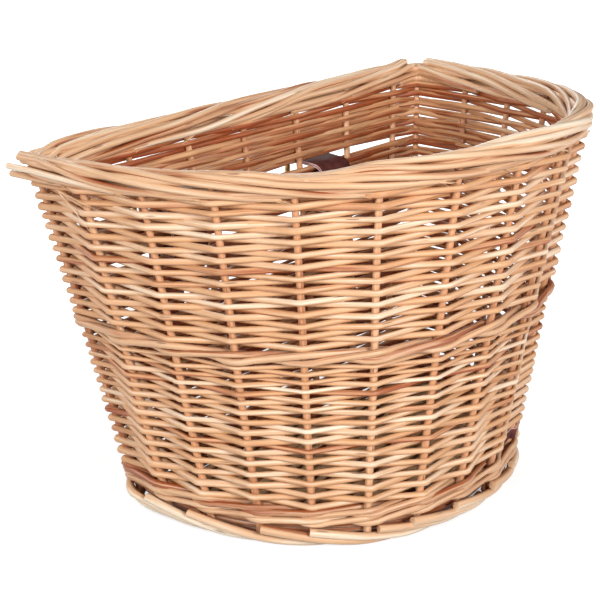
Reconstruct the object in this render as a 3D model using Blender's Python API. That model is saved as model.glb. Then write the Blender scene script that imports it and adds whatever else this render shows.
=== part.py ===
"""A D-shaped willow basket with a flat back, a curved front and two buckled leather straps.

Upright stakes stand in a foot border, run up through waled bands and woven courses,
and end in the rim border. Metres, +Z up, curved front towards -Y, flat back towards +Y.
The origin is on the ground, under the middle of the foot border's back run.
"""

import math

import bmesh
import bpy
import numpy as np
from mathutils import Matrix, Vector

# Plan of the wall, measured across the stakes' axes
FOOT_WIDTH = 0.289
FOOT_DEPTH = 0.174
SIDE_FLARE = 0.048
FRONT_FLARE = 0.047
BACK_LEAN = 0.046
CORNER_RADIUS = 0.013
SIDE_FULLNESS = 0.88
FRONT_FULLNESS = 0.97

# Heights of the bands one above another up the back wall, where two slits part the upper weave
FOOT_HEIGHT = 0.018
UPSETT_HEIGHT = 0.012
LOWER_WEAVE_HEIGHT = 0.102
MID_WALE_HEIGHT = 0.012
BELOW_SLITS_HEIGHT = 0.022
BETWEEN_SLITS_HEIGHT = 0.034
ABOVE_SLITS_HEIGHT = 0.039
BORDER_HEIGHT = 0.021

# Above the foot, the front stretches in step with its higher rim
FRONT_RISE = 0.027
RISE_POWER = 1.4

# Stakes
FRONT_STAKES = 13
BACK_STAKES = 7
CORNER_STAKES = 2
CORNER_STAKE_GAP = 0.0145
STAKE_BUTT_RADIUS = 0.0028
STAKE_TIP_RADIUS = 0.0024
STAKE_SOCKET = 0.012
STAKE_SIDES = 6

# Woven courses and bound edges. Rods lie together where they cross between stakes and part at each
# stake, and they reach further out round the outside of a corner stake
ROD_THICKNESS = 0.004
ROW_HEIGHT = 0.0085
ROW_PARTING = 0.0014
CROSSING_HALF_SPAN = 0.07
CORNER_REACH = 0.0019
LOWER_COURSES = 4
TOP_COURSES = 2
WALE_HALF_WIDTH = 0.0075
BORDER_HALF_WIDTH = 0.0095
BORDER_ROUND = 0.004
FOOT_HALF_WIDTH = 0.007
FOOT_LIP_WIDTH = 0.007
FOOT_LIP_HEIGHT = 0.005

# Woven floor and the sticks it is worked on
FLOOR_THICKNESS = 0.010
FLOOR_STICKS = 5
FLOOR_STICK_PITCH = 0.038
FLOOR_STICK_RADIUS = 0.003

# Leather straps on the flat back
STRAP_WIDTH = 0.030
STRAP_THICKNESS = 0.0032
STRAP_STATION_FROM_MIDDLE = 1.5
SLIT_OPENING = 0.006
SLIT_HALF_SPAN = 1.6
ARCH_RADIUS = 0.008
STRAP_STAND_OFF = 0.012
TAIL_LENGTH = 0.140
TAIL_POINT = 0.014
TAIL_HOLES = 5
TAIL_HOLE_PITCH = 0.018
TAIL_HOLE_RADIUS = 0.002
FIRST_HOLE_FROM_POINT = 0.016

# Buckles
BAR_RADIUS = 0.002
BAR_STAND_OFF = 0.020
BUCKLE_DROP = 0.022
BUCKLE_SIDE_GAP = 0.001
EYE_RADIUS = 0.0058
PRONG_WIDTH = 0.005
PRONG_THICKNESS = 0.0018
PRONG_OVERHANG = 0.003
NOTCH_SIDE_GAP = 0.001
NOTCH_DEPTH_GAP = 0.002

# Small leather loop low on the front
LOOP_STATION = 5
LOOP_HEIGHT = 0.008
LOOP_WALL = 0.0024
LOOP_TAB_LENGTH = 0.024
LOOP_TAB_THICKNESS = 0.0032
LOOP_SLIT_LIFT = 0.0135
LOOP_SLIT_STATION = 5.3
LOOP_SLIT_HALF_SPAN = 1.4

# Fits and facets
CLEARANCE = 0.0003
SEAT_CLEARANCE = 0.0004
WEAVE_CLEARANCE = 0.0007
CUT_MARGIN = 0.005
BAND_STEPS = (0, 0.2, 0.8)
ARC_STEPS = 24
CURVE_STEPS = 400
ROUND_SIDES = 12
BAR_SIDES = 8

RIM_WIDTH = FOOT_WIDTH + 2 * SIDE_FLARE
RIM_DEPTH = FOOT_DEPTH + FRONT_FLARE + BACK_LEAN
UPSETT_TOP = FOOT_HEIGHT + UPSETT_HEIGHT
MID_WALE_BOTTOM = UPSETT_TOP + LOWER_WEAVE_HEIGHT
MID_WALE_TOP = MID_WALE_BOTTOM + MID_WALE_HEIGHT
LOWER_SLIT = MID_WALE_TOP + BELOW_SLITS_HEIGHT
UPPER_SLIT = LOWER_SLIT + BETWEEN_SLITS_HEIGHT
BORDER_BOTTOM = UPPER_SLIT + ABOVE_SLITS_HEIGHT
HEIGHT = BORDER_BOTTOM + BORDER_HEIGHT
STATIONS = FRONT_STAKES + BACK_STAKES + CORNER_STAKES
WEAVE_OFFSET = STAKE_BUTT_RADIUS + WEAVE_CLEARANCE + ROD_THICKNESS / 2


def clear_scene():
    for item in list(bpy.data.objects):
        bpy.data.objects.remove(item, do_unlink=True)


def finish(name, color, roughness, metallic=0.0):
    material = bpy.data.materials.new(name)
    material.use_nodes = True
    shader = material.node_tree.nodes["Principled BSDF"]
    shader.inputs["Base Color"].default_value = (*color, 1.0)
    shader.inputs["Roughness"].default_value = roughness
    shader.inputs["Metallic"].default_value = metallic
    return material


def add_object(name, bm, material, location=(0, 0, 0)):
    """Turns a bmesh into a named, smooth-shaded object whose faces point outwards."""
    bmesh.ops.recalc_face_normals(bm, faces=bm.faces)
    mesh = bpy.data.meshes.new(name)
    bm.to_mesh(mesh)
    bm.free()
    mesh.shade_smooth()
    mesh.set_sharp_from_angle(angle=math.radians(40))
    if material:
        mesh.materials.append(material)
    item = bpy.data.objects.new(name, mesh)
    item.location = location
    bpy.context.scene.collection.objects.link(item)
    return item


def as_cutter(item):
    item.hide_render = True
    item.display_type = "WIRE"
    return item


def cut(item, cutter):
    modifier = item.modifiers.new(f"cut_{cutter.name}", "BOOLEAN")
    modifier.operation = "DIFFERENCE"
    modifier.solver = "EXACT"
    modifier.object = cutter


class Outline:
    """One level's D-shaped plan, from the right corner round the front to the left and back."""

    def __init__(self, width, depth, back):
        half = width / 2 - CORNER_RADIUS
        self.corner_y = back - CORNER_RADIUS
        t = np.linspace(0, math.pi, CURVE_STEPS)
        front = np.stack(
            [
                half * np.sign(np.cos(t)) * np.abs(np.cos(t)) ** SIDE_FULLNESS,
                self.corner_y - (depth - 2 * CORNER_RADIUS) * np.abs(np.sin(t)) ** FRONT_FULLNESS,
            ],
            -1,
        )
        tangent = np.gradient(front, axis=0)
        normal = np.stack([-tangent[:, 1], tangent[:, 0]], -1)
        normal /= np.linalg.norm(normal, axis=1, keepdims=True)
        right, left = front[0], front[-1]
        runs = [
            self.arc(right, 45, 0),
            (front, normal),
            self.arc(left, 180, 135),
            self.arc(left, 135, 90),
            self.arc(right, 90, 45),
        ]
        centres = np.concatenate([run[0] for run in runs])
        self.normals = np.concatenate([run[1] for run in runs])
        self.points = centres + CORNER_RADIUS * self.normals
        steps = np.linalg.norm(np.diff(self.points, axis=0), axis=1)
        self.length = np.concatenate([[0], np.cumsum(steps)])
        left_corner = self.length[ARC_STEPS + CURVE_STEPS + ARC_STEPS - 1]
        back_start = self.length[ARC_STEPS + CURVE_STEPS + 2 * ARC_STEPS - 1]
        back_end = back_start + 2 * half
        self.station_length = np.concatenate(
            [
                np.linspace(0, left_corner, FRONT_STAKES + CORNER_STAKES),
                np.linspace(back_start + CORNER_STAKE_GAP, back_end - CORNER_STAKE_GAP, BACK_STAKES),
                self.length[-1:],
            ]
        )

    @staticmethod
    def arc(centre, start, end):
        angles = np.radians(np.linspace(start, end, ARC_STEPS))
        normal = np.stack([np.cos(angles), np.sin(angles)], -1)
        return np.repeat(centre[None], ARC_STEPS, 0), normal

    def at(self, station, offset):
        """Plan points at these stations, offset outwards."""
        place = np.interp(np.mod(station, STATIONS), np.arange(STATIONS + 1), self.station_length)
        point = np.stack([np.interp(place, self.length, self.points[:, i]) for i in (0, 1)], -1)
        normal = np.stack([np.interp(place, self.length, self.normals[:, i]) for i in (0, 1)], -1)
        normal /= np.linalg.norm(normal, axis=-1, keepdims=True)
        return point + normal * np.asarray(offset)[..., None]


RIM = Outline(RIM_WIDTH, RIM_DEPTH, BACK_LEAN)
FOOT = Outline(FOOT_WIDTH, FOOT_DEPTH, 0.0)


def rim_height(station):
    forward = (BACK_LEAN - RIM.at(station, np.zeros_like(station))[:, 1]) / RIM_DEPTH
    return HEIGHT + FRONT_RISE * np.clip(forward, 0, 1) ** RISE_POWER


def wall(station, level, offset=0.0):
    """World points on the wall: a straight line runs up each station from foot to rim."""
    station = np.atleast_1d(np.asarray(station, float))
    level = np.broadcast_to(np.asarray(level, float), station.shape)
    offset = np.broadcast_to(np.asarray(offset, float), station.shape)
    top = rim_height(station)
    stretch = np.clip((level - FOOT_HEIGHT) / (HEIGHT - FOOT_HEIGHT), 0, None)
    z = level + (top - HEIGHT) * stretch
    share = (z / top)[:, None]
    plan = FOOT.at(station, offset) * (1 - share) + RIM.at(station, offset) * share
    return np.column_stack([plan, z])


def wall_point(station, level, offset=0.0):
    return Vector(wall(station, level, offset)[0])


def stations(steps):
    """Stations all round the wall, with these steps from each stake to the next."""
    return np.add.outer(np.arange(STATIONS), steps).ravel()


def ring(name, material, profile):
    """A closed band round the wall. The profile is a loop of (offset, level) pairs."""
    station = stations(BAND_STEPS)
    loops = [wall(station, level, offset) for offset, level in profile]
    bm = bmesh.new()
    verts = [[bm.verts.new(point) for point in loop] for loop in loops]
    for a, b in zip(verts, verts[1:] + verts[:1]):
        for i in range(len(station)):
            j = (i + 1) % len(station)
            bm.faces.new((a[i], a[j], b[j], b[i]))
    return add_object(name, bm, material)


def prism(bm, outline, axis_a, axis_b, depth, centre=Vector()):
    """Extrudes a flat outline of (a, b) pairs both ways along depth."""
    loops = []
    for side in (-0.5, 0.5):
        loop = [centre + axis_a * a + axis_b * b + depth * side for a, b in outline]
        loops.append([bm.verts.new(point) for point in loop])
    bm.faces.new(loops[0])
    bm.faces.new(loops[1])
    for i in range(len(outline)):
        j = (i + 1) % len(outline)
        bm.faces.new((loops[0][i], loops[0][j], loops[1][j], loops[1][i]))


def rod(bm, start, end, start_radius, end_radius, sides):
    along = end - start
    turn = along.to_track_quat("Z", "Y").to_matrix().to_4x4()
    bmesh.ops.create_cone(
        bm,
        cap_ends=True,
        segments=sides,
        radius1=start_radius,
        radius2=end_radius,
        depth=along.length,
        matrix=Matrix.Translation((start + end) / 2) @ turn,
    )


def circle_arc(radius, start, end, count, centre=(0.0, 0.0)):
    angles = np.linspace(start, end, count)
    return [(centre[0] + radius * math.cos(a), centre[1] + radius * math.sin(a)) for a in angles]


def stake_ends(station):
    return wall_point(station, FOOT_HEIGHT - STAKE_SOCKET), wall_point(station, BORDER_BOTTOM + STAKE_SOCKET)


def build_stakes(material):
    """The upright rods, and one cutter of the same rods grown by the clearance."""
    cutter = bmesh.new()
    for station in range(STATIONS):
        low, high = stake_ends(station)
        grow = (high - low).normalized() * CLEARANCE
        bm = bmesh.new()
        rod(bm, low, high, STAKE_BUTT_RADIUS, STAKE_TIP_RADIUS, STAKE_SIDES)
        add_object(f"stake_{station + 1:02d}", bm, material)
        rod(
            cutter,
            low - grow,
            high + grow,
            STAKE_BUTT_RADIUS + CLEARANCE,
            STAKE_TIP_RADIUS + CLEARANCE,
            STAKE_SIDES,
        )
    return as_cutter(add_object("stake_clearance", cutter, None))


def build_bound_edges(material, stakes):
    """Foot border, upsett wale, middle wale and rim border, each bored for the stakes."""
    lip = FOOT_HALF_WIDTH + FOOT_LIP_WIDTH
    edge = BORDER_HALF_WIDTH - BORDER_ROUND
    low, high = BORDER_BOTTOM + CLEARANCE, HEIGHT
    profiles = {
        "foot_border": [
            (FOOT_HALF_WIDTH, 0),
            (FOOT_HALF_WIDTH, FOOT_HEIGHT),
            (-FOOT_HALF_WIDTH, FOOT_HEIGHT),
            (-FOOT_HALF_WIDTH, FOOT_LIP_HEIGHT),
            (-lip, FOOT_LIP_HEIGHT),
            (-lip, 0),
        ],
        "upsett_wale": band(WALE_HALF_WIDTH, FOOT_HEIGHT + CLEARANCE, UPSETT_TOP),
        "middle_wale": band(WALE_HALF_WIDTH, MID_WALE_BOTTOM + CLEARANCE, MID_WALE_TOP),
        "rim_border": [
            (BORDER_HALF_WIDTH, low),
            (BORDER_HALF_WIDTH, high - BORDER_ROUND),
            (edge, high),
            (-edge, high),
            (-BORDER_HALF_WIDTH, high - BORDER_ROUND),
            (-BORDER_HALF_WIDTH, low),
        ],
    }
    for name, profile in profiles.items():
        cut(ring(name, material, profile), stakes)


def band(half_width, low, high):
    return [(half_width, low), (half_width, high), (-half_width, high), (-half_width, low)]


def parting(station, centre, half_span):
    """How far the rods are parted at each station: 1 at the centre, 0 past the span."""
    away = np.abs(np.mod(station - centre + STATIONS / 2, STATIONS) - STATIONS / 2) / half_span
    return np.clip(1 - away**2, 0, 1) ** 2


def strap_stations():
    middle = FRONT_STAKES + CORNER_STAKES + (BACK_STAKES - 1) / 2
    return {
        "left": middle - STRAP_STATION_FROM_MIDDLE,
        "right": middle + STRAP_STATION_FROM_MIDDLE,
    }


def strap_parting(station):
    return sum(parting(station, centre, SLIT_HALF_SPAN) for centre in strap_stations().values())


def row_count(low, high):
    return max(1, round((high - low) / ROW_HEIGHT))


def sleeve(bm, start, end):
    """Joins two four-cornered sections with the faces between them."""
    for i in range(4):
        j = (i + 1) % 4
        bm.faces.new((start[i], start[j], end[j], end[i]))


def build_course(name, material, phase, low, high, low_lift=None, high_drop=None):
    """Rows of rods that pass before one stake and behind the next, and lie together in between."""
    rows = row_count(low, high)
    half = ROD_THICKNESS / 2
    stakes = np.arange(STATIONS)
    bm = bmesh.new()

    def corners(station, row, inset, middle):
        """The four corners of a row's section at each station, drawn in from its two edges."""
        bottom = low + CLEARANCE + (low_lift(station) if low_lift else 0)
        top = high - (high_drop(station) if high_drop else 0)
        height = (top - bottom) / rows
        under, over = bottom + height * row + inset, bottom + height * (row + 1) - inset
        places = [(under, half), (over, half), (over, -half), (under, -half)]
        return np.stack([wall(station, level, middle + offset) for level, offset in places], 1)

    def crossing(side):
        """Sections at one side of each crossing, with the corners that two rows share made once."""
        station = stakes + 0.5 + side * CROSSING_HALF_SPAN
        sections = []
        for row in range(rows):
            points = corners(station, row, 0.0, 0.0)
            made = [[bm.verts.new(point) for point in section] for section in points]
            if sections:
                for section, below in zip(made, sections[-1]):
                    for mine, shared in ((0, 1), (3, 2)):
                        bm.verts.remove(section[mine])
                        section[mine] = below[shared]
            sections.append(made)
        return sections

    before, after = crossing(-1), crossing(1)
    at_corner = np.isin(stakes, (0, FRONT_STAKES + 1))
    for row in range(rows):
        middle = phase * (-1) ** row * WEAVE_OFFSET * np.cos(math.pi * stakes)
        middle += np.where(at_corner & (middle > 0), CORNER_REACH, 0)
        for stake, points in enumerate(corners(stakes.astype(float), row, ROW_PARTING, middle)):
            passing = [bm.verts.new(point) for point in points]
            sleeve(bm, after[row][stake - 1], passing)
            sleeve(bm, passing, before[row][stake])
            start, end = before[row][stake], after[row][stake]
            bm.faces.new((start[0], start[1], end[1], end[0]))
            bm.faces.new((start[3], start[2], end[2], end[3]))
    for row, edge in ((0, (0, 3)), (-1, (1, 2))):
        for start, end in zip(before[row], after[row]):
            bm.faces.new((start[edge[0]], start[edge[1]], end[edge[1]], end[edge[0]]))
    add_object(name, bm, material)


def build_courses(material):
    def loop_lift(station):
        return LOOP_SLIT_LIFT * parting(station, LOOP_SLIT_STATION, LOOP_SLIT_HALF_SPAN)

    def slit_half(station):
        return SLIT_OPENING / 2 * strap_parting(station)

    lower = np.linspace(UPSETT_TOP, MID_WALE_BOTTOM, LOWER_COURSES + 1)
    phase = 1
    for i, (low, high) in enumerate(zip(lower, lower[1:])):
        build_course(f"lower_course_{i + 1}", material, phase, low, high, None if i else loop_lift)
        phase *= (-1) ** row_count(low, high)
    upper = [MID_WALE_TOP, LOWER_SLIT, *np.linspace(UPPER_SLIT, BORDER_BOTTOM, TOP_COURSES + 1)]
    for i, (low, high) in enumerate(zip(upper, upper[1:])):
        lift = slit_half if i in (1, 2) else None
        drop = slit_half if i in (0, 1) else None
        build_course(f"upper_course_{i + 1}", material, phase, low, high, lift, drop)
        phase *= (-1) ** row_count(low, high)


def build_floor(floor_material, stick_material):
    """The woven floor, resting on the foot border's lip, and its sticks from front to back."""
    bottom = FOOT_LIP_HEIGHT + CLEARANCE
    middle = bottom + FLOOR_THICKNESS / 2
    edge = wall(stations(BAND_STEPS), FOOT_LIP_HEIGHT, -FOOT_HALF_WIDTH - CLEARANCE)[:, :2]
    bm = bmesh.new()
    up = Vector((0, 0, FLOOR_THICKNESS))
    prism(bm, edge, Vector((1, 0, 0)), Vector((0, 1, 0)), up, Vector((0, 0, middle)))
    floor = add_object("floor_panel", bm, floor_material)
    back = edge[:, 1].max()
    front_run = edge[np.argsort(edge[:, 0])]
    front_run = front_run[front_run[:, 1] < back - CORNER_RADIUS]
    cutter = bmesh.new()
    for i in range(FLOOR_STICKS):
        x = (i - (FLOOR_STICKS - 1) / 2) * FLOOR_STICK_PITCH
        front = float(np.interp(x, front_run[:, 0], front_run[:, 1]))
        start = Vector((x, front + FLOOR_STICK_RADIUS, middle))
        end = Vector((x, back, middle))
        bm = bmesh.new()
        rod(bm, start, end, FLOOR_STICK_RADIUS, FLOOR_STICK_RADIUS, BAR_SIDES)
        add_object(f"floor_stick_{i + 1}", bm, stick_material)
        margin = Vector((0, CUT_MARGIN, 0))
        bore = FLOOR_STICK_RADIUS + CLEARANCE
        rod(cutter, start - margin, end + margin, bore, bore, BAR_SIDES)
    cut(floor, as_cutter(add_object("stick_clearance", cutter, None)))


def saddle_path(x_station):
    """Centre line of the strap in (y, z): in at the upper slit, down the inside, out at the lower."""
    lip = -SLIT_OPENING / 2 + SEAT_CLEARANCE + STRAP_THICKNESS / 2
    top, bottom = UPPER_SLIT + lip, LOWER_SLIT + lip
    inner_face = -(WEAVE_OFFSET + ROD_THICKNESS / 2)
    top_y = wall_point(x_station, UPPER_SLIT).y
    bottom_y = wall_point(x_station, LOWER_SLIT).y
    quarter = math.pi / 2
    top_centre = (top_y + inner_face, top - ARCH_RADIUS)
    bottom_centre = (bottom_y + inner_face, bottom + ARCH_RADIUS)
    path = [(top_y + BAR_STAND_OFF, top)]
    path += circle_arc(ARCH_RADIUS, quarter, 2 * quarter, 5, top_centre)
    path += circle_arc(ARCH_RADIUS, 2 * quarter, 3 * quarter, 5, bottom_centre)
    path.append((bottom_y + STRAP_STAND_OFF, bottom))
    return np.array(path)


def strap_outline(path):
    """The strap's edge outline, with a round eye about the path's first point."""
    tangent = np.gradient(path, axis=0)
    tangent[0], tangent[-1] = path[1] - path[0], path[-1] - path[-2]
    tangent /= np.linalg.norm(tangent, axis=1, keepdims=True)
    normal = np.stack([-tangent[:, 1], tangent[:, 0]], -1) * STRAP_THICKNESS / 2
    side_a, side_b = path[1:] + normal[1:], path[1:] - normal[1:]
    meet = math.pi - math.asin(STRAP_THICKNESS / 2 / EYE_RADIUS)
    eye = circle_arc(EYE_RADIUS, meet, -meet, ROUND_SIDES, path[0])
    return [*eye, *side_a, *side_b[::-1]]


def build_strap(side, station, leather, metal):
    """One strap: the part through the wall, its hanging tail, and the buckle on its eye."""
    across = Vector((1, 0, 0))
    along_y, along_z = Vector((0, 1, 0)), Vector((0, 0, 1))
    path = saddle_path(station)
    x = wall_point(station, (UPPER_SLIT + LOWER_SLIT) / 2).x
    bar = Vector((x, *path[0]))
    bm = bmesh.new()
    prism(bm, strap_outline(path), along_y, along_z, across * STRAP_WIDTH, Vector((x, 0, 0)))
    saddle = add_object(f"{side}_strap_saddle", bm, leather)

    bore = BAR_RADIUS + CLEARANCE
    bm = bmesh.new()
    reach = across * (STRAP_WIDTH / 2 + CUT_MARGIN)
    rod(bm, bar - reach, bar + reach, bore, bore, ROUND_SIDES)
    bar_clearance = as_cutter(add_object(f"{side}_bar_clearance", bm, None))
    cut(saddle, bar_clearance)
    bm = bmesh.new()
    notch = EYE_RADIUS + NOTCH_DEPTH_GAP
    square = [(-notch, -notch), (notch, -notch), (notch, notch), (-notch, notch)]
    prism(bm, square, along_y, along_z, across * (PRONG_WIDTH + 2 * NOTCH_SIDE_GAP), bar)
    cut(saddle, as_cutter(add_object(f"{side}_prong_notch", bm, None)))

    build_buckle(side, bar, metal, bar_clearance)
    hinge = Vector((x, path[-1][0] + CLEARANCE + STRAP_THICKNESS / 2, path[-1][1]))
    build_tail(side, hinge, leather)


def build_buckle(side, bar, metal, bar_clearance):
    half = STRAP_WIDTH / 2 + BUCKLE_SIDE_GAP + BAR_RADIUS
    corners = [(-half, 0), (half, 0), (half, -BUCKLE_DROP), (-half, -BUCKLE_DROP)]
    bm = bmesh.new()
    loops = []
    for x, z in corners:
        out_x, out_z = math.copysign(1, x), 1 if z == 0 else -1
        loop = []
        for i in range(BAR_SIDES):
            angle = 2 * math.pi * i / BAR_SIDES
            reach = BAR_RADIUS * math.cos(angle)
            point = (x + out_x * reach, BAR_RADIUS * math.sin(angle), z + out_z * reach)
            loop.append(bm.verts.new(point))
        loops.append(loop)
    for a, b in zip(loops, loops[1:] + loops[:1]):
        for i in range(BAR_SIDES):
            j = (i + 1) % BAR_SIDES
            bm.faces.new((a[i], a[j], b[j], b[i]))
    add_object(f"{side}_buckle_frame", bm, metal, bar)

    inner = BAR_RADIUS + CLEARANCE
    outer = inner + PRONG_THICKNESS
    tip = -BUCKLE_DROP - PRONG_OVERHANG
    meet = 2 * math.pi - math.acos(inner / outer)
    outline = circle_arc(outer, 0, meet, ROUND_SIDES) + [(inner, tip), (outer, tip)]
    bm = bmesh.new()
    prism(bm, outline, Vector((0, 1, 0)), Vector((0, 0, 1)), Vector((PRONG_WIDTH, 0, 0)))
    cut(add_object(f"{side}_buckle_prong", bm, metal, bar), bar_clearance)


def build_tail(side, hinge, leather):
    half = STRAP_WIDTH / 2
    shoulder = TAIL_POINT - TAIL_LENGTH
    outline = [(-half, 0), (-half, shoulder), (0, -TAIL_LENGTH), (half, shoulder), (half, 0)]
    bm = bmesh.new()
    prism(bm, outline, Vector((1, 0, 0)), Vector((0, 0, 1)), Vector((0, STRAP_THICKNESS, 0)))
    tail = add_object(f"{side}_strap_tail", bm, leather, hinge)
    bm = bmesh.new()
    reach = Vector((0, STRAP_THICKNESS + CUT_MARGIN, 0))
    for i in range(TAIL_HOLES):
        z = shoulder + FIRST_HOLE_FROM_POINT + i * TAIL_HOLE_PITCH
        middle = Vector((0, 0, z))
        rod(bm, middle - reach, middle + reach, TAIL_HOLE_RADIUS, TAIL_HOLE_RADIUS, BAR_SIDES)
    cut(tail, as_cutter(add_object(f"{side}_tail_holes", bm, None, hinge)))


def build_front_loop(leather, stakes):
    """A leather strip folded round one stake, its two ends sewn together beside it."""
    low, high = stake_ends(LOOP_STATION)
    axis = (high - low).normalized()
    start = wall_point(LOOP_STATION, UPSETT_TOP)
    radius = STAKE_BUTT_RADIUS + CLEARANCE + LOOP_WALL
    dip = radius * math.hypot(axis.x, axis.y)
    centre = start + axis * (2 * CLEARANCE + dip + LOOP_HEIGHT / 2)
    ahead = wall_point(LOOP_STATION + 1, UPSETT_TOP) - start
    ahead = (ahead - axis * ahead.dot(axis)).normalized()
    outward = axis.cross(ahead).normalized()
    meet = math.asin(LOOP_TAB_THICKNESS / 2 / radius)
    outline = circle_arc(radius, meet, 2 * math.pi - meet, ROUND_SIDES)
    outline += [(LOOP_TAB_LENGTH, -LOOP_TAB_THICKNESS / 2), (LOOP_TAB_LENGTH, LOOP_TAB_THICKNESS / 2)]
    bm = bmesh.new()
    prism(bm, outline, ahead, outward, axis * LOOP_HEIGHT, centre)
    cut(add_object("front_loop", bm, leather), stakes)


def main():
    clear_scene()
    peeled = finish("peeled_willow", (0.72, 0.47, 0.26), 0.5)
    buff = finish("buff_willow", (0.66, 0.40, 0.20), 0.5)
    bound = finish("bound_willow", (0.74, 0.50, 0.28), 0.45)
    floor = finish("floor_willow", (0.58, 0.36, 0.19), 0.55)
    leather = finish("maroon_leather", (0.09, 0.035, 0.03), 0.45)
    brass = finish("dull_brass", (0.62, 0.47, 0.24), 0.35, 1.0)
    stakes = build_stakes(peeled)
    build_bound_edges(bound, stakes)
    build_courses(buff)
    build_floor(floor, peeled)
    for side, station in strap_stations().items():
        build_strap(side, station, leather, brass)
    build_front_loop(leather, stakes)


main()
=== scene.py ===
"""Dresses a D-shaped willow basket: woven rods, wales, borders, leather straps and buckles.

Metres, +Z up, curved front towards -Y, flat back towards +Y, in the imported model's own frame.
Rods are swept along computed paths, because each one bends round its own stakes; leather
and metal pieces are modelled with Blender's operators.
"""

from __future__ import annotations

import logging
import math
from collections.abc import Mapping, Sequence
from dataclasses import dataclass, field
from enum import Enum
from typing import NamedTuple

import bpy
import numpy as np
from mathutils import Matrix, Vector

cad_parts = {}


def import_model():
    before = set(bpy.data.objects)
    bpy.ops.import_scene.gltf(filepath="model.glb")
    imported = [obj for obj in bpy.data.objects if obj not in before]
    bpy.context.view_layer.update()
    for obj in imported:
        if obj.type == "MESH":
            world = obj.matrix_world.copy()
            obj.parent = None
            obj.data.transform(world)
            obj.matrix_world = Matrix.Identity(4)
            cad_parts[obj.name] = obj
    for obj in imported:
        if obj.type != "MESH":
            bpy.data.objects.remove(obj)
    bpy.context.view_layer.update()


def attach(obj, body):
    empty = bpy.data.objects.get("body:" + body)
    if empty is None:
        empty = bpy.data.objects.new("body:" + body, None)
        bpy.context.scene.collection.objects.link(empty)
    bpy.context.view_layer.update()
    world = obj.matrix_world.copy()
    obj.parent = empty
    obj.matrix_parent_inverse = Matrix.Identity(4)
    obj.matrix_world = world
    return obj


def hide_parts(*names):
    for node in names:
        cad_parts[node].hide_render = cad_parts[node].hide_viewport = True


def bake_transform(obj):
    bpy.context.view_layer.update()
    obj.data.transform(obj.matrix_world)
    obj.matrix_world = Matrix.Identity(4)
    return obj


LOG = logging.getLogger("willow_basket")
ROD_MAP = "RodMap"
ROD_TONE_AND_SHADE = "tone"
GRAIN_SPAN = 40
BEND_STEPS = (0.0, 0.27, 0.5, 0.73, 1.0)
CUT_EDGE_FACING = 0.75

Color = tuple[float, float, float]
Array = np.ndarray
Draw = np.random.Generator
Piece = bpy.types.Object
Socket = bpy.types.NodeSocket
Pair = tuple[float, float]


class Side(Enum):
    """The two straps on the flat back, named by the side of the basket they are on."""

    LEFT = "left"
    RIGHT = "right"


class Reach(Enum):
    """Where a rod of a wale lies at the stakes that it meets in turn: its rise and its side."""

    BEHIND = (0.0, -1.0)
    LOW_IN_FRONT = (-0.5, 1.0)
    HIGH_IN_FRONT = (0.5, 1.08)


def srgb(red: int, green: int, blue: int) -> Color:
    """Turns an sRGB colour in whole numbers up to 255 into linear values."""
    shares = [value / 255 for value in (red, green, blue)]
    linear = [v / 12.92 if v <= 0.04045 else ((v + 0.055) / 1.055) ** 2.4 for v in shares]
    return linear[0], linear[1], linear[2]


def unit(vectors: Array) -> Array:
    """Scales one vector, or each of several, to a length of 1."""
    return vectors / np.linalg.norm(vectors, axis=-1, keepdims=True)


@dataclass
class PlanOutline:
    """One level's D-shaped plan, from the right back corner round the front to the left and back."""

    wall: BasketWall
    width: float
    depth: float
    back: float
    curve_steps: int = 400
    arc_steps: int = 24

    def __post_init__(self) -> None:
        """Lays out the outline's points and the place of each stake along it."""
        half = self.width / 2 - self.wall.corner_radius
        corner_y = self.back - self.wall.corner_radius
        t = np.linspace(0, math.pi, self.curve_steps)
        reach = self.depth - 2 * self.wall.corner_radius
        across = half * np.sign(np.cos(t)) * np.abs(np.cos(t)) ** self.wall.side_fullness
        front = np.stack([across, corner_y - reach * np.abs(np.sin(t)) ** self.wall.front_fullness], -1)
        tangent = np.gradient(front, axis=0)
        normal = unit(np.stack([-tangent[:, 1], tangent[:, 0]], -1))
        right, left = front[0], front[-1]
        runs = [
            self.corner(right, 45, 0),
            (front, normal),
            self.corner(left, 180, 135),
            self.corner(left, 135, 90),
            self.corner(right, 90, 45),
        ]
        self.normals = np.concatenate([run[1] for run in runs])
        self.points = np.concatenate([run[0] for run in runs]) + self.wall.corner_radius * self.normals
        steps = np.linalg.norm(np.diff(self.points, axis=0), axis=1)
        self.length = np.concatenate([[0], np.cumsum(steps)])
        left_corner = self.length[self.curve_steps + 2 * self.arc_steps - 1]
        back_start = self.length[self.curve_steps + 3 * self.arc_steps - 1]
        first = back_start + self.wall.corner_gap
        last = back_start + 2 * half - self.wall.corner_gap
        self.stake_length = np.concatenate(
            [
                np.linspace(0, left_corner, self.wall.front_stakes + 2),
                np.linspace(first, last, self.wall.back_stakes),
                self.length[-1:],
            ]
        )

    def corner(self, centre: Array, start: float, end: float) -> tuple[Array, Array]:
        """Gives one rounded corner's repeated centre and its outward directions.

        Args:
            centre: The round's centre in plan.
            start: First angle in degrees.
            end: Last angle in degrees.

        Returns:
            The centre once for each direction, and the directions.
        """
        angles = np.radians(np.linspace(start, end, self.arc_steps))
        return np.repeat(centre[None], self.arc_steps, 0), np.stack([np.cos(angles), np.sin(angles)], -1)

    def at(self, station: Array, offset: Array) -> Array:
        """Finds plan points.

        Args:
            station: Places along the wall, counted in stakes.
            offset: Distances outwards from the stakes' axes.

        Returns:
            One plan point for each station.
        """
        stations = len(self.stake_length) - 1
        place = np.interp(np.mod(station, stations), np.arange(stations + 1), self.stake_length)
        point, normal = (
            np.stack([np.interp(place, self.length, values[:, i]) for i in (0, 1)], -1)
            for values in (self.points, self.normals)
        )
        return point + unit(normal) * np.asarray(offset)[..., None]


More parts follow.
